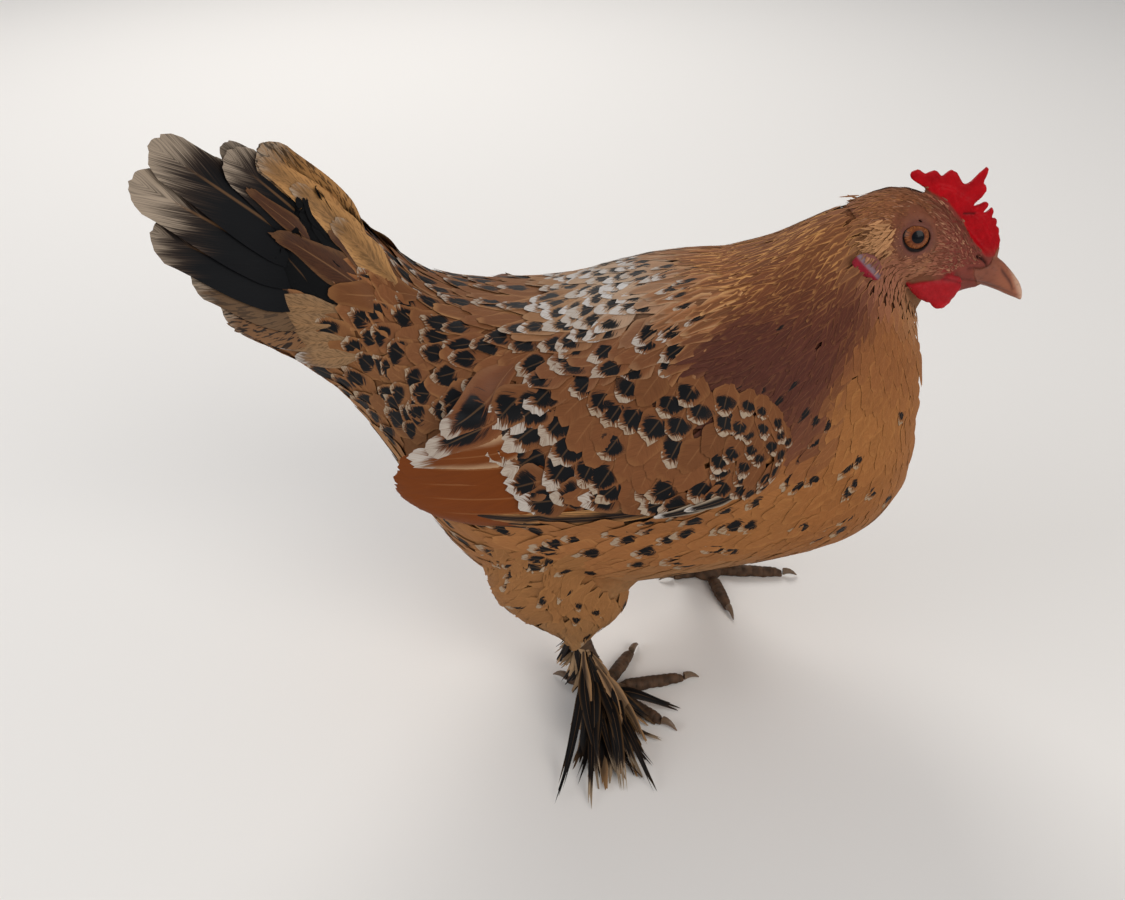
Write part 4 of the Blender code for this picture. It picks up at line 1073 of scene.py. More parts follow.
def lid_ring(centre, side):
    """Closed ring of lid round an eye: a round section carried on an almond that lies on the eyeball, its
    corners low in front and high behind."""
    turn = (2 * np.pi * np.arange(96) / 96)[:, None]
    wide, tall, slant = 0.84, 0.63, 0.22
    gaze = unit(np.array([0.04, side * 1.0, 0.16]))
    forward = unit(np.array([1.0, 0, 0]) - gaze * gaze[0])
    up = unit(np.array([0, 0, 1.0]) - gaze * gaze[2])
    forward, up = forward * np.cos(slant) - up * np.sin(slant), up * np.cos(slant) + forward * np.sin(slant)
    polar = wide * np.abs(np.cos(turn)) ** 2.2 + tall * (1 - np.abs(np.cos(turn)) ** 2.2)
    spoke = np.cos(turn) * forward + np.sin(turn) * up
    out = np.cos(polar) * gaze + np.sin(polar) * spoke
    ring = (centre + (EYE_RADIUS + 0.20 * MM) * out)[:, None, :]
    out, low = out[:, None, :], (np.cos(polar) * spoke - np.sin(polar) * gaze)[:, None, :]
    section = (2 * np.pi * np.arange(12) / 12)[None, :, None]
    tube = ring + 0.60 * MM * np.cos(section) * out + 0.95 * MM * np.sin(section) * low + 0.85 * MM * low
    here = np.arange(96 * 12).reshape(96, 12)
    ahead = np.roll(here, -1, 0)
    quads = np.stack([here, ahead, np.roll(ahead, -1, 1), np.roll(here, -1, 1)], -1).reshape(-1, 4)
    return tube.reshape(-1, 3), np.vstack([quads[:, [0, 1, 2]], quads[:, [0, 2, 3]]])


# Outlines in the bird's middle plane, x and z in millimetres: the comb with its points and cuts, the thick
# ridge it grows from, and a wattle.
COMB = np.array((
    (110.7, 195), (104.2, 199.6), (102.6, 201.6), (103.3, 203.2), (105.2, 203.9), (107, 203),
    (108.3, 202.4), (110.5, 203.6), (112.3, 203), (113.9, 201.2), (115, 202.8), (116.8, 203.9),
    (118.6, 202.9), (120.2, 200.6), (122, 198.4), (123.8, 199.4), (126.2, 202.2), (128.2, 204.9),
    (129.2, 204.4), (128.9, 201.4), (127.9, 198.2), (129, 198.6), (130, 197.4), (129.5, 195.4),
    (128, 193.6), (126.1, 191.5), (126.7, 190.7), (129.4, 192.3), (131, 192.5), (131.6, 191.3),
    (130.6, 189.5), (129.4, 188.6), (130.1, 188.1), (131.8, 189.2), (133.1, 190.8), (133.6, 188.4),
    (133.4, 186.2), (134.6, 186.6), (135.7, 185.6), (135.3, 183.6), (136.9, 183), (136.9, 180.8),
    (137.9, 178.8), (138.2, 175.5), (138, 172.8), (133.5, 171.5), (128.5, 174.5), (123.5, 181),
    (117.5, 188),
))
COMB_RIDGE = np.array((
    (109.5, 196.2), (113.5, 198.6), (118, 197.4), (121.5, 194.6), (125, 193), (126.8, 188.6), (130, 186.4),
    (133, 182), (135.6, 177.5), (136.8, 173.2), (133, 171), (127, 174), (121, 181.5), (113, 190),
))
WATTLE = np.array((
    (103.6, 167.2), (105.5, 164.8), (107.9, 162.7), (110.2, 161.5), (112, 161.3), (113.4, 159.6),
    (115.2, 158.5), (117.2, 158.8), (118.8, 160.6), (120.4, 163.2), (122, 166.2), (122.6, 168.4),
    (121.4, 170.6), (117.6, 171.6), (112.6, 170.6), (107.8, 169.2), (104.6, 168.4),
))
# The bill: top edge x, z, lower edge x, z, and half its breadth, from inside the head to its tip.
BILL = np.array((
    (124, 172.5, 122.5, 167, 7.6), (129, 173, 127, 164.6, 7), (134, 173.2, 131.6, 162.9, 6.1),
    (137.7, 172.4, 135.6, 161.6, 5.2), (141.5, 169.5, 139.9, 159.9, 4.2), (145.3, 165.6, 144, 158, 3.1),
    (147.9, 162.4, 147.2, 156.7, 2.1), (149.4, 159.4, 149, 155.8, 1.2), (149.9, 157, 149.7, 155.4, 0.5),
)) * MM


def plate(outline, middle, half):
    """Closed plate: an outline in x and z, given a thickness across the bird."""
    count = len(outline)
    low, high = (np.insert(outline * MM, 1, middle + side * half, 1) for side in (-1, 1))
    caps = np.array(tessellate_polygon([[Vector((a, b, 0)) for a, b in outline * MM]]))
    i = np.arange(count)
    j = (i + 1) % count
    walls = np.vstack([np.stack([i, j, j + count], -1), np.stack([i, j + count, i + count], -1)])
    return np.vstack([low, high]), np.vstack([caps, caps[:, ::-1] + count, walls])


def inset(outline, share):
    """Outline drawn in towards its middle by a share."""
    return outline + (outline.mean(0) - outline) * share


def bill_core():
    """Closed bill: sections carried from the head to the tip, each an arch over a shallow keel."""
    count, sides = 40, 28
    top_x, top_z, low_x, low_z, half = (
        column[:, None] for column in rows_at(BILL, np.linspace(0, len(BILL) - 1, count)).T)
    turn = 2 * np.pi * np.arange(sides) / sides
    high = 0.36 + np.where(np.sin(turn) > 0, 0.64, 0.36) * np.sin(turn)
    x = low_x + (top_x - low_x) * high
    z = low_z + (top_z - low_z) * high
    points = np.stack([x, MIDDLE_Y + half * np.cos(turn), z], -1)
    here = np.arange(count * sides).reshape(count, sides)
    after = np.roll(here, -1, 1)
    a, b = here[:-1].ravel(), after[:-1].ravel()
    ends = [(np.full(sides, count * sides), after[0], here[0]),
            (np.full(sides, count * sides + 1), here[-1], after[-1])]
    faces = [np.stack(corners, -1) for corners in ((a, b, b + sides), (a, b + sides, a + sides), *ends)]
    return np.vstack([points.reshape(-1, 3), points[0].mean(0), points[-1].mean(0)]), np.vstack(faces)


def near(points, *names, within):
    """Share from 0 to 1 by how near each point is to some CAD nodes, 0 at `within` metres and past it."""
    tree = tree_of(*names)
    nodes = node_mesh(*names)[0]
    share = np.zeros(len(points))
    close = (points > nodes.min(0) - within) & (points < nodes.max(0) + within)
    for k in np.nonzero(close.all(1))[0]:
        share[k] = max(0.0, 1 - tree.find_nearest(Vector(points[k]))[3] / within)
    return share


def grown(node, by):
    """A CAD node's points moved out along their mean normals."""
    points, faces = node_mesh(node)
    _, first, back = np.unique(np.round(points, 7), axis=0, return_index=True, return_inverse=True)
    points, faces = points[first], back.ravel()[faces]
    a, b, c = (points[corner] for corner in faces.T)
    return points + unit(gathered(faces, np.cross(b - a, c - a), len(points))) * by, faces


def along_line(line, x):
    """Height of a bent line at some x, both in millimetres."""
    return np.interp(x, *zip(*line))


def bell(x, middle, width):
    """1 at the middle, falling off to both sides as a bell."""
    return np.exp(-(((x - middle) / width) ** 2))


def past_lobe(x, z):
    """How far up and forward a place lies from the middle of the ear lobe, in millimetres."""
    return ((x - 87.9) + (z - 176.2)) / 2**0.5


def laid(paint, *layers):
    """Colours laid over a paint one after the other, each by its share from 0 to 1."""
    for share, colour in layers:
        share = np.clip(share, 0, 1)[:, None]
        paint = paint * (1 - share) + (tone(*colour) if isinstance(colour, tuple) else colour) * share
    return paint


def head_skin():
    """Head, comb, wattles, ear lobes, lids and the bed of the bill as one fine shell. Its points are moved
    along their normals for creases round the eye, the nostril, the gape and the bed of the coat, and
    painted by place. Returns the shell, its paint and grain, and each point's share of horn."""
    parts = [grown("head", 0.0), bill_core(), plate(COMB, MIDDLE_Y, 1.05 * MM),
             plate(COMB_RIDGE, MIDDLE_Y, 2.1 * MM)]
    for side, name in SIDES:
        for share, half in ((0.0, 0.9), (0.14, 1.6), (0.34, 2.1)):
            parts.append(plate(inset(WATTLE, share), MIDDLE_Y + side * 14.2 * MM, half * MM))
        lobe, faces = grown(f"ear_lobe_{name}", 0.25 * MM)
        parts.append((lobe - [0, side * 1.0 * MM, 0], faces))
    parts += [lid_ring(centre, side) for side, centre in eye_centres().items()]
    points, faces = remeshed(*pieces_together(parts), 0.41 * MM)
    points = relaxed(points, faces, 4)
    normal = point_normals(points, faces)
    x, y, z = points[:, 0] / MM, (points[:, 1] - MIDDLE_Y) / MM, points[:, 2] / MM
    off = np.abs(y)
    near_eye = from_eyes(points) / MM
    # shares of comb, wattle and lobe by place
    root = along_line(((100, 202), (109, 197.2), (113, 195.2), (117, 192.8), (120, 189.6), (122.6, 186.6),
                       (124.9, 183.0), (126.6, 179.4), (128.6, 176.6), (131.0, 174.6), (139, 172.5)), x)
    comb = smooth((z - root) / 1.2 + 0.5) * smooth((5.2 - off) / 1.2) * smooth((x - 101) / 1.5)
    top = along_line(((100, 167), (104, 168.2), (108, 169.2), (114, 170.0), (117, 171.6), (120.5, 171.4),
                      (123, 168.8)), x)
    wattle = (smooth((top - z) / 0.9 + 0.5) * smooth((off - 11.6) / 1.0) * smooth((x - 102) / 1.0)
              * (x < 124))
    lobe = smooth(near(points, "ear_lobe_right", "ear_lobe_left", within=1.6 * MM) * 3)
    crimson = np.maximum(comb, wattle)
    soft = np.maximum(crimson, lobe)
    # horn lies in front of the fold over the nostril and of the corner of the mouth
    fold = along_line(((120.5, 169.2), (122.5, 171.2), (124.4, 171.8), (127.3, 171.4), (130.2, 170.7),
                       (133.0, 170.8), (134.9, 171.8), (136.2, 173.4), (137.5, 176.0)), x)
    horn = smooth((fold - z) / 0.8 + 0.5) * smooth((x - 121.6 - 0.9 * np.maximum(167.5 - z, 0)) / 1.2)
    horn = horn * smooth((normal[:, 2] + 0.72 + (x - 131) / 6) / 0.3)
    # relief, in millimetres
    bare = np.clip(smooth((10.5 - near_eye) / 3.5) + smooth((x - 108) / 7) + soft, 0, 1)
    crease = (0.11 * np.sin(near_eye * 4.2 + waves(points, 5 * MM, 3) * 2) * bell(near_eye, 8.2, 2.0)
              * (1 - soft))
    folds = (0.12 * waves(points, 2.4 * MM, 4) * (0.25 + 0.75 * soft)
             + 0.05 * waves(points, 0.9 * MM, 5) * (1 - horn))
    mouth = along_line(((112, 171.0), (116, 170.4), (120, 169.4), (124, 167.6), (129, 165.9), (134, 164.2),
                        (140, 161.7), (145, 159.3), (150, 157.0)), x)
    gape = 0.30 * bell(z, mouth, 0.45) * smooth((x - 112) / 4) * smooth((147 - x) / 4)
    slit = along_line(((126.5, 176.0), (128.5, 175.2), (130.0, 174.6), (131.5, 173.6), (133.0, 171.8),
                       (134, 170.8)), x)
    nostril = 1.15 * bell(z, slit, 0.75) * smooth((x - 127.8) / 1.2) * smooth((133.6 - x) / 1.0) * (off > 3)
    seam = 0.30 * bell(z, fold, 0.55) * smooth((x - 124) / 2) * smooth((136.5 - x) / 1.5)
    brow = 0.5 * bell(near_eye, 7.6, 1.1) * smooth((z - 188) / 2.5) * (1 - soft)
    notch = 0.5 * bell(z, 188.9, 0.35) * smooth((x - 122.3) / 0.6) * smooth((127.4 - x) / 0.6)
    shift = (crease + folds - gape - nostril - seam + brow) * bare - notch - 0.7 * (1 - bare)
    points = points + normal * (shift * MM)[:, None]
    # paint
    flush = np.clip(waves(points, 6 * MM, 6) * 0.5 + 0.5, 0, 1)
    pale_ring = bell(near_eye, 7.3, 1.5) * (0.35 + 0.65 * smooth((186 - z) / 3))
    up_lobe = past_lobe(x, z)
    blank = np.ones((len(points), 3))
    ear = laid(blank * tone(132, 30, 44), (smooth((up_lobe + 0.9) / 1.0), (124, 104, 112)),
               (smooth((up_lobe - 0.7) / 1.0), (118, 72, 66)))
    streak = along_line(((137.5, 170.3), (139.9, 167.8), (141.3, 166.2), (143.2, 163.9), (144.6, 161.4),
                         (146, 158.4)), x)
    streak = 0.85 * bell(z, streak, 0.9) * smooth((x - 138.2) / 1.5) * smooth((145.4 - x) / 1.2)
    flesh = laid(blank * tone(120, 66, 46), (smooth((x - 134) / 8) * 0.6, (150, 88, 60)),
                 (smooth((x - 146.6 + (z - 158) * 0.5) / 2.6), (186, 146, 122)), (streak, (66, 30, 22)))
    # painted shade: the nostril, the seam over it, the gape and the notch in the comb are painted dark as
    # well as carved in
    dark = (np.clip(nostril * 0.9, 0, 0.92) + np.clip(seam * 1.5, 0, 0.5) + np.clip(gape * 1.2, 0, 0.4)
            + notch * 1.6)
    paint = laid(
        blank * tone(112, 70, 50),
        (smooth((13.0 - near_eye) / 5.0), (116, 68, 48)),
        (smooth((x - 110) / 7), (114, 56, 47)),
        (0.6 * pale_ring * (1 - soft), (112, 76, 62)),
        (0.6 * np.exp(-((x - 116) / 3.5) ** 2 - ((z - 173) / 1.6) ** 2), (136, 50, 48)),
        (0.5 * smooth((z - 186) / 3) * smooth((x - 108) / 5), (124, 52, 44)),
        (bell(near_eye, 5.9, 0.9), (104, 64, 54)),
        (smooth((5.75 - near_eye) / 0.5), (24, 17, 18)),
        (comb, (168, 6, 18)),
        (comb * 0.45 * flush, (120, 4, 14)),
        (comb * 0.8 * smooth((178 - z) / 6), (112, 44, 38)),
        (wattle, (150, 26, 32)),
        (wattle * 0.6 * smooth((164 - z) / 4), (176, 14, 26)),
        (wattle * 0.5 * smooth((z - 168.5) / 2), (128, 44, 44)),
        (lobe, ear), (horn, flesh), (dark, (30, 12, 12)))
    grain = np.stack([0.25 + 0.45 * crimson, np.full(len(points), 0.3), 0.60 - 0.16 * crimson], -1)
    return points, faces, paint, grain, horn


def body_core():
    """What the coat grows from: neck, trunk, tail coverts and thighs in one closed shell, drawn in by the
    coat's depth."""
    parts = [grown(node, 0.3 * MM) for node in ("head", "neck", "trunk", "tail_coverts", "thigh_right",
                                                "thigh_left")]
    parts += [grown(f"wing_coverts_{name}", -1.2 * MM) for _, name in SIDES]
    points, faces = remeshed(*pieces_together(parts), 3.0 * MM)
    points = relaxed(points, faces, 3)
    depth = (1.5 + 5.0 * smooth((-92 * MM - points[:, :1]) / (20 * MM))) * MM
    points = relaxed(points - point_normals(points, faces) * depth, faces, 2)
    # its paint is the coat's ground colour darkened: painted shade for the gaps between the feathers
    return points, faces, coat_here(points)[1] * 0.8, np.tile([0.1, 0.5, 0.8], (len(points), 1))


def leg_nodes(name):
    """The CAD nodes of one shank and its toes."""
    return [f"shank_{name}"] + [f"toe_{toe}_{name}" for toe in ("inner", "middle", "outer", "hind")]


def legs_skin():
    """Shanks, foot pads and toes: scutes step along the top of each toe and down the front of each
    shank."""
    shells = []
    for _, name in SIDES:
        parts = [grown(node, 0.32 * MM) for node in leg_nodes(name)]
        points, faces = remeshed(*pieces_together(parts), 0.66 * MM)
        points = relaxed(points, faces, 3)
        normal = point_normals(points, faces)
        out = np.linalg.norm(points[:, :2] - np.array(LEGS[name]["foot"]) * MM, axis=1) / MM
        z = points[:, 2] / MM
        scale = np.abs(np.sin(np.pi * np.where(z > 8.5, z + 30, out) / 2.3)) ** 0.45
        upper = smooth((normal[:, 2] + 0.35) / 0.5) * (z < 8.5) + (z >= 8.5)
        pads = np.clip(waves(points, 2.0 * MM, 8), -1, 1) * 0.16 * (1 - upper)
        rise = (0.34 * (scale - 0.75)) * upper + pads - 0.10 + 0.05 * waves(points, 1.0 * MM, 9)
        points = points + normal * (rise * MM)[:, None]
        points[:, 2] = np.maximum(points[:, 2], 0.0)
        dirt = np.clip(waves(points, 5 * MM, 10) * 0.5 + 0.5, 0, 1)[:, None]
        paint = tone(92, 70, 54) * (1 - dirt) + tone(60, 46, 36) * dirt
        # painted shade: darker in the grooves between the scutes, by the same rings that carve them
        paint = paint * (0.45 + 0.55 * smooth(scale / 0.7))[:, None]
        shells.append((points, faces, paint, np.tile([0.25, 0.6, 0.55], (len(points), 1))))
    return shells


def four(rows):
    """Colours with a fourth number, 1."""
    return np.hstack([rows, np.ones((len(rows), 1))])


def skin():
    """The one skin of the bird, from its bill to its toes, and the sheath of horn over the bill. Returns
    search trees over the head and the core."""
    points, faces, paint, grain, horn = head_skin()
    kept, sheath = np.unique(faces[(horn[faces] > 0.5).all(1)], return_inverse=True)
    proud = points[kept] + point_normals(points, faces)[kept] * 0.12 * MM
    bill = mesh_object("bill", proud, sheath.reshape(-1, 4), horn_look("bill_horn", None, tone(70, 36, 26)),
                       paints={"paint": four(paint)[kept]})
    wall = bill.modifiers.new("wall", "SOLIDIFY")
    wall.thickness = 0.5 * MM
    wall.offset = -1.0
    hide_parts("beak_upper", "beak_lower")
    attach(bill, "root")
    shells = [(points, faces, paint, grain), body_core(), *legs_skin()]
    points, faces = pieces_together([shell[:2] for shell in shells])
    paint, grain = (four(np.vstack([shell[k] for shell in shells])) for k in (2, 3))
    made = mesh_object("skin", points, faces, skin_look(), paints={"paint": paint, "grain": grain})
    flesh = ["head", "neck", "trunk", "tail_coverts", "comb"]
    for _, name in SIDES:
        flesh += [f"thigh_{name}", f"wattle_{name}", f"ear_lobe_{name}", *leg_nodes(name)]
    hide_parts(*flesh)
    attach(made, "root")
    return [BVHTree.FromPolygons(shell[0].tolist(), shell[1].tolist()) for shell in shells[:2]]


# ---------------------------------------------------------------- claws

def horn_look(name, base, streak):
    """Horn: its ground is one colour or the paint attribute, with long fibres and darker streaks."""
    look = new_look(name)
    tree = look.node_tree
    place = put(tree, "TexCoord", None, "Object")
    along = put(tree, "Mapping", {0: place, "Scale": (180.0, 900.0, 900.0), "Rotation": (0, 0.6, 0)})
    fibre = noise(tree, along, 1.0, 3.0)
    ground = painted(tree, "paint") if base is None else base
    return shaded(look, {
        "Base Color": blend(ramp(fibre, 0.50, 0.75) * 0.35, ground, streak),
        "Roughness": ramp(fibre, 0.2, 0.8, 0.38, 0.55),
        "Normal": put(tree, "Bump", {"Strength": 0.3, "Distance": 0.00008, "Height": fibre}),
        "Specular IOR Level": 0.3, "Subsurface Weight": 0.1, "Subsurface Scale": 0.0015})


def claws():
    """The claws keep their solids, with horn over them."""
    claw = horn_look("claw_horn", tone(104, 84, 66), tone(52, 40, 32))
    for name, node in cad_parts.items():
        if name.startswith("claw_"):
            node.data.materials.clear()
            node.data.materials.append(claw)


# ---------------------------------------------------------------- the coat

def covered(spots, wing_trees):
    """True for roots that lie well under a folded wing: it is there past the root and past four places
    round it."""
    hidden = np.zeros(len(spots), bool)
    steps = [Vector(step) for step in ((0, 0, 0), (0, 0, 0.007), (0, 0, -0.005), (-0.006, 0, 0),
                                       (0.007, 0, 0))]
    for k in np.nonzero(np.abs(spots[:, 1]) > 20 * MM)[0]:
        side = 1.0 if spots[k, 1] > 0 else -1.0
        tree, way = wing_trees[side], Vector((0, side, 0))
        hidden[k] = all(tree.ray_cast(Vector(spots[k]) + step, way)[0] is not None for step in steps)
    return hidden


def pressed(tree, places, normals, above, start=3 * MM, below=4 * MM):
    """Shaft paths moved along their normals to the skin, `above` metres over it, and the skin's normals.
    The skin is looked for from `start` metres over a point to `below` under it; the third result says where
    it was found."""
    places, normals = places.copy(), normals.copy()
    found = np.zeros(places.shape[:2], bool)
    for i, j in np.ndindex(found.shape):
        point, way = Vector(places[i, j]), Vector(normals[i, j])
        hit, facing = tree.ray_cast(point + way * start, -way, start + below)[:2]
        if hit is not None and facing.dot(way) > 0.2:
            places[i, j] = hit + way * above
            normals[i, j] = (facing + way).normalized()
            found[i, j] = True
    return places, normals, found


def settled(tree, places, normals, most):
    """Shaft paths let down along their normals wherever they lie more than `most` metres over the skin."""
    places = places.copy()
    for i, j in np.ndindex(places.shape[:2]):
        point, way = Vector(places[i, j]), Vector(normals[i, j])
        gap = tree.ray_cast(point + way * 0.002, -way, 0.012)[3]
        if gap is not None and gap - 0.002 > most:
            places[i, j] = point - way * (gap - 0.002 - most)
    return places


def on_skin(tree, places):
    """Shaft paths with each point moved to the nearest skin, and the skin's normals there."""
    places, normals = places.copy(), places.copy()
    for i, j in np.ndindex(places.shape[:2]):
        places[i, j], normals[i, j] = tree.find_nearest(Vector(places[i, j]))[:2]
    return places, normals


def whole_map(*numbers, edge=0.02):
    """Places spread over the whole bake map but for its edge."""
    bake = np.stack(numbers, -1)
    low, high = bake.min(0), bake.max(0)
    return edge + (1 - 2 * edge) * (bake - low) / (high - low)


def add(coat, piece, *bunches):
    """Bunches of vanes put in one of the coat's pieces."""
    coat.setdefault(piece, []).extend(bunches)


# Where the feathers of the crown end at the comb, and where the rump's show past the wing: x and z in
# millimetres. Where the black upper tail coverts begin: z and x.
CROWN_EDGE = ((100, 203), (109, 198.2), (113, 196.2), (117, 193.8), (120, 190.6), (122.6, 187.6),
              (124.9, 184), (126.6, 180.4), (128.6, 177.6), (139, 173))
RUMP_EDGE = ((-80, 108), (-68, 117), (-55, 129), (-42, 140), (-28, 146))
COVERT_EDGE = ((136, -106), (144, -102), (156, -93), (164, -85), (170, -78), (182, -73))
# Behind this x the coat lies on the body without its wings.
REAR = -14


def body_coat(coat, head_tree, core_tree):
    """Feathers of head, neck and trunk: roots scattered over the bird, each vane laid along its surface."""
    bare, dressed = body_surfaces()
    wing_trees = {side: tree_of(f"wing_coverts_{name}", f"wing_flight_{name}") for side, name in SIDES}
    for rear, surface in ((False, dressed), (True, bare)):
        gap = coat_here(surface.grid)[0][..., 0]
        t, c, spots = surface.scatter(gap * (1.12 if rear else 1.0) * MM)
        sizes, tint, marks = coat_here(spots)
        x, z = spots[:, 0] / MM, spots[:, 2] / MM
        shown = (x < -28) & (z > along_line(RUMP_EDGE, x))
        keep = ((x < REAR) == rear) & (~covered(bare.at(bare.grid, t, c), wing_trees) | shown)
        keep &= (from_eyes(spots) > 7.8 * MM) & (x < 111)
        keep &= near(spots, "comb", "wattle_right", "wattle_left", within=2.2 * MM) <= 0
        keep &= near(spots, "ear_lobe_right", "ear_lobe_left", within=1.0 * MM) <= 0
        t, c, spots, sizes, tint, marks, x, z = (a[keep] for a in (t, c, spots, sizes, tint, marks, x, z))
        black = (x < along_line(COVERT_EDGE, z)) & (z > 120 - 0.4 * x)
        tint = np.where(black[:, None], tone(9, 10, 12), tint)
        marks = np.where(black[:, None], 0.0, marks)
        sizes[black, 1:3] = (26.0, 10.0)
        length = sizes[:, 1] * MM * drawn(len(t), 0.85, 1.12) * (1.08 if rear else 1.0)
        width = sizes[:, 2] * MM * drawn(len(t), 0.92, 1.12) * (1.22 if rear else 1.08)
        skew = np.where(spots[:, 1] < MIDDLE_Y, 1.0, -1.0) * marks[:, 6] + sway(len(t), 0.10)
        tiny, slender = ((sizes[:, 0] < most) & (not rear) for most in (1.9, 3.4))
        for name, part, stations, columns, patch, wider in (
                ("head", tiny, 5, 3, 0.003, 1.15), ("hackle", slender & ~tiny, 9, 5, 0.006, 1.40),
                ("rump" if rear else "mantle", ~slender, 9, 7, 0.009, 1.0 if rear else 1.2)):
            if not part.any():
                continue
            depth = np.clip(sizes[part, 1] / 18.0, 0.25, 1.0)
            places, normals = surface.paths(t[part], c[part], length[part], skew[part])
            feather = dressed_for(tint[part], marks[part], sizes[part, 3])
            feather["sink"] = -1.25 * MM * depth
            feather["lift"] = feather["lift"] + 0.1 * MM * depth
            if name == "head":
                places, normals, found = pressed(head_tree, places, normals, 0.4 * MM)
                over = places[..., 2] / MM - along_line(CROWN_EDGE, places[..., 0] / MM)
                stray = (found.sum(1) < found.shape[1] - 1) & (z[part] > 190)
                stray |= ((over > 0.5) & (places[..., 0] > 102 * MM)).any(1)
                width[np.nonzero(part)[0][stray]] = 0.05 * MM
                places = np.where(found[..., None], places, settled(core_tree, places, normals, 1.2 * MM))
                places[:, 1:-1] = (places[:, :-2] + 2 * places[:, 1:-1] + places[:, 2:]) / 4
            if name in ("hackle", "mantle"):
                places = settled(core_tree, places, normals, 1.5 * MM)
                for key in ("lift", "cup", "sink"):
                    feather[key] = feather[key] * (0.3 if name == "hackle" else 0.35)
            if name == "hackle":
                places = pressed(head_tree, places, normals, 0.3 * MM, below=0.0)[0]
            feather["fine"] = np.clip(sizes[part, 1] / 14, 0.3, 1.5)
            feather["freckle"] = 0.8 * smooth((-106 - x[part]) / 6) * smooth((160 - z[part]) / 6)
            bake = whole_map(c[part] / surface.cols % 1.0, t[part] / surface.rows)
            add(coat, name, vanes(places, normals, length[part], width[part] * wider, feather,
                                  stations, columns, bake, patch))
    return bare


def face_bristles(coat, bare, head_tree):
    """Tiny feathers all over the face but for the eye's rim, the comb, the wattles and the bill; then the
    tuft over each ear."""
    t, c, _ = bare.scatter(np.where(bare.grid[..., 0] > 84 * MM, 0.62 * MM, 30 * MM))
    places, normals = bare.paths(t, c, np.full(len(t), 2.2 * MM), sway(len(t), 0.25), 4)
    steps = places - places[:, :1]
    places, normals, found = pressed(head_tree, places, normals, 0.0, 6 * MM)
    places, normals = on_skin(head_tree, places[:, :1] + steps)
    spots = places[:, 0]
    eye = from_eyes(spots) / MM
    x, z, off = spots[:, 0] / MM, spots[:, 2] / MM, np.abs(spots[:, 1] - MIDDLE_Y) / MM
    keep = (x > 84 + 14 * smooth((z - 188) / 8)) & (x < 131) & (found.sum(1) > 2)
    keep &= eye > np.where(x < 110, 5.8, 6.4) + 0.4 * smooth((187 - z) / 3)
    keep &= (z < along_line(CROWN_EDGE, x)) | (off > 6.5)
    keep &= ~((x > 121) & (z < 172.5)) & ~((x > 102.5) & (z < 171.5) & (x < 124) & (off > 11))
    lobe = near(spots, "ear_lobe_right", "ear_lobe_left", within=1.6 * MM)
    keep &= (lobe <= 0) | (past_lobe(x, z) > 2.4)
    keep &= drawn(len(t), 0, 1) < 0.55 + 0.45 * smooth((eye - 6.5) / 4.0) * smooth((126 - x) / 14)
    places, normals, t, c, spots, eye, x = (a[keep] for a in (places, normals, t, c, spots, eye, x))
    count = len(t)
    size = np.clip(0.45 + 0.55 * smooth((eye - 6.5) / 5) - 0.30 * smooth((x - 112) / 12), 0.40, 1.0)
    length = 3.0 * MM * size * drawn(count, 0.7, 1.25)
    places = places[:, :1] + (places - places[:, :1]) * (length / (2.2 * MM))[:, None, None]
    width = 0.70 * MM * np.sqrt(size) * drawn(count, 0.6, 1.2)
    _, tint, marks = coat_here(spots)
    front = smooth((x - 104) / 12)[:, None]
    tint = tint * (1 - front) + tone(134, 80, 64) * front
    buff = drawn(count, 0, 1, 1) < 0.18
    tint = np.where(buff, tone(158, 112, 86), tint) * drawn(count, 0.6, 1.3, 1)
    feather = dressed_for(tint, marks, 0.8, sink=-0.05 * MM, lift=0.45 * MM, fine=0.3, gild=0.1, spot=0.0,
                          pale=0.0, stripe=0.0)
    bake = whole_map(c / bare.cols % 1.0, t / bare.rows)
    add(coat, "face_bristles", vanes(places, normals, length, width, feather,
                                     stations=4, columns=3, bake=bake, patch=0.003))
    for side, name in SIDES:
        count = 130
        near_x = 93.0 + sway(count, 1.9)
        near_z = 184.6 + sway(count, 2.0)
        start = np.stack([near_x, np.full(count, MIDDLE_Y / MM + side * 13.2), near_z], -1) * MM
        fall = drawn(count, -0.75, 0.25)
        way = np.stack([-np.cos(fall), np.full(count, side * 0.34), np.sin(fall)], -1)
        long = drawn(count, 3.5, 6.5) * MM
        s = np.linspace(0, 1, 5)[None, :, None]
        path = start[:, None, :] + way[:, None, :] * s * long[:, None, None]
        path = path + np.array([0.0, side * 0.9 * MM, -0.5 * MM]) * s * (1.6 - s)
        face = unit(np.broadcast_to(np.array([0.1, side * 1.0, 0.25]), path.shape))
        tint = tone(172, 126, 88) * drawn(count, 0.75, 1.15, 1)
        feather = dressed_for(tint, None, 0.7, sink=0.0, lift=0.1 * MM, fine=0.3, gild=0.25)
        bake = whole_map(near_x, near_z, edge=0.03)
        add(coat, f"ear_tuft_{name}", vanes(path, face, long, drawn(count, 0.7, 1.2) * MM, feather,
                                            stations=6, columns=3, bake=bake, patch=0.003))


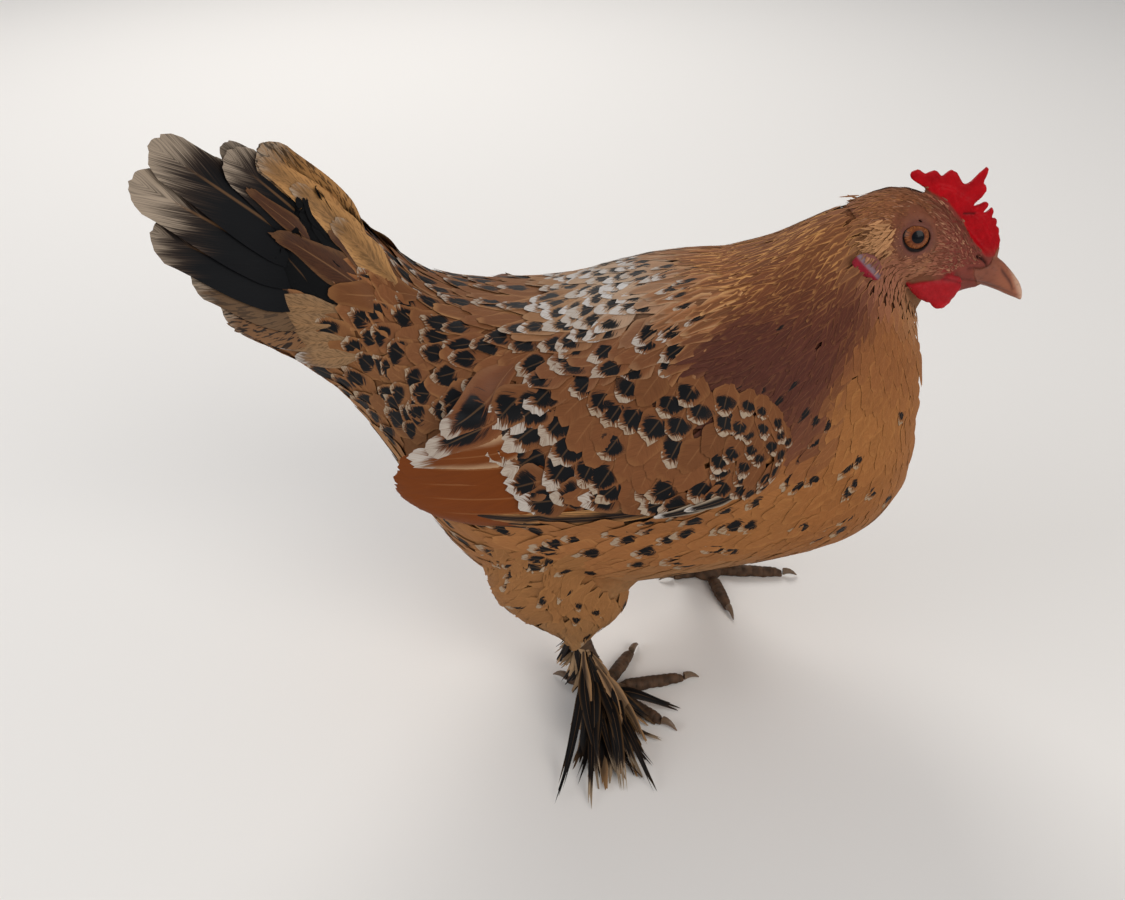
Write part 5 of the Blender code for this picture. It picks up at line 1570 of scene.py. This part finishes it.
def wing_coat(coat, side, name):
    """Coverts over the front of a folded wing: they point down and back over the bow, and straight back
    along the wing's lower edge; the last ones are the largest and most pale-tipped. Then the flight
    feathers."""
    sheet = side_sheet(side, (f"wing_coverts_{name}", f"wing_flight_{name}", "trunk"), (-86, 84),
                       (70, 162), 20)
    surface = wing_surface(sheet)
    t, c, spots = surface.scatter((3.9 + 2.3 * smooth((56 * MM - surface.grid[..., 0]) / (30 * MM))) * MM)
    x, z = spots[:, 0] / MM, spots[:, 2] / MM
    length = (10.0 + 5.0 * smooth((56 - x) / 30) + 3.5 * smooth((-2 - x) / 14)) * drawn(len(t), 0.9, 1.1)
    slope = 1.05 - 0.50 * smooth((-4 - x) / 22) - 0.75 * smooth((126 - z) / 12) * smooth((56 - x) / 25)
    slope = slope + sway(len(t), 0.10)
    tip_x, tip_z = x - length * np.cos(slope), z - length * np.sin(slope)
    keep = tip_x > along_line(((106, -28), (112, -36), (118, -39), (126, -40), (134, -42), (142, -42),
                               (150, -38)), tip_z)
    keep &= (x > -32) & (tip_z > along_line(((-20, 107), (17, 107), (44, 109), (60, 104)), tip_x))
    t, c, spots, x, z, length, slope = (a[keep] for a in (t, c, spots, x, z, length, slope))
    big = smooth((56 - x) / 30)
    rear = np.clip(smooth((-2 - x) / 14) + 0.8 * smooth((122 - z) / 9) * smooth((30 - x) / 20), 0, 1)
    width = 6.8 + 5.0 * big + 2.6 * rear
    down = surface.at(surface.down, t, c)
    skew = slope - np.arctan2(-down[:, 2], -down[:, 0])
    marks = np.zeros((len(t), 7))
    marks[:, 0] = 0.68 + 0.30 * rear + 0.15 * smooth((x - 34) / 14)
    marks[:, 1] = 0.55 + 0.45 * big
    marks[:, 2] = 0.40 + 0.10 * big + 0.45 * rear
    marks[:, 3] = 0.15 + 0.35 * rear
    marks[:, 5] = 0.06
    tint = tone(110, 68, 40) * (1 + 0.10 * waves(spots, 30 * MM, 12)[:, None])
    places, normals = surface.paths(t, c, length * MM, skew)
    feather = dressed_for(tint, marks, 0.10, lift=0.15 * MM, fine=1.1, sink=(-0.6 - 0.2 * big) * MM)
    share = t / (WING_ROWS - 1.0)
    bake = np.stack([0.02 + 0.96 * share / share.max(), 0.02 + 0.96 * c / (WING_COLS - 1.0)], -1)
    add(coat, f"wing_bow_{name}", vanes(places, normals, length * MM, width * MM, feather,
                                        stations=10, columns=9, bake=bake, patch=0.012))
    add(coat, f"wing_quills_{name}", *flight_feathers(side, sheet))


def thigh_coat(coat, name):
    """Soft feathers that hang down the flank and thigh to the hock."""
    surface, reach = thigh_surface(name)
    t, c, spots = surface.scatter(np.full(reach.shape, 3.7 * MM))
    keep = surface.at(reach[..., None], t, c)[:, 0] < 31 * MM
    t, c, spots = t[keep], c[keep], spots[keep]
    z = spots[:, 2]
    marks = coat_here(spots)[2]
    marks[:, :3] = (0.26, 0.55, 0.5)
    length = np.minimum(18.0 * MM, np.maximum(z - 23 * MM, 6 * MM)) * drawn(len(t), 0.85, 1.1)
    facing = unit(surface.at(surface.normal, t, c))[:, 1]
    skew = 0.75 * facing * smooth((z - 30 * MM) / (30 * MM)) + sway(len(t), 0.16)
    places, normals = surface.paths(t, c, length, skew)
    paler = smooth((60 * MM - z) / (30 * MM))[:, None]
    tint = tone(138, 94, 55) * (1 - paler) + tone(142, 106, 70) * paler
    feather = dressed_for(tint, marks, 0.55, sink=-0.9 * MM, lift=0.25 * MM, fine=1.2)
    feather["fray"] = drawn(len(t), 0.04, 0.08)
    bake = 0.02 + 0.96 * np.stack([c / surface.cols % 1.0, t / surface.rows], -1)
    add(coat, "thighs", vanes(places, normals, length, np.full(len(t), 7.4 * MM), feather,
                              stations=9, columns=7, bake=bake, patch=0.009))


def dress(head_tree, core_tree):
    """All of the coat; the pieces that stand in for CAD nodes hide them."""
    coat = {}
    bare = body_coat(coat, head_tree, core_tree)
    face_bristles(coat, bare, head_tree)
    markings = vane_group()
    soft = vane_look("soft_plumage", markings, barbs=0.5, shaft=0.10, bump=0.4, roughness=0.75, border=0.03)
    stiff = vane_look("flight_plumage", markings, barbs=0.30, shaft=0.14, bump=0.5, roughness=0.6,
                      border=0.05)
    fan = vane_look("tail_plumage", markings, barbs=0.45, shaft=0.20, bump=0.5, roughness=0.55, border=0.13)
    kinds = dict(wing_quills=((stiff, "flight_feathers"), "wing_flight", "wing_coverts"),
                 tail_quills=((fan, "tail_feathers"), "tail_fan"), foot_feathers=((stiff, "plumage"), "boot"))
    for side, name in SIDES:
        wing_coat(coat, side, name)
        thigh_coat(coat, name)
        add(coat, f"tail_quills_{name}", *tail_feathers(side, name))
        add(coat, f"foot_feathers_{name}", *boot_feathers(name))
    for piece, bunches in coat.items():
        kind, _, name = piece.rpartition("_")
        looks, *nodes = kinds.get(kind, ((soft, "plumage"),))
        made = joined(piece, bunches, *looks)
        if nodes:
            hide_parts(*(f"{node}_{name}" for node in nodes))


camera()
studio()
skin_trees = skin()
wet = eye_look()
for side, name in SIDES:
    eyeball(side, name, wet)
claws()
dress(*skin_trees)
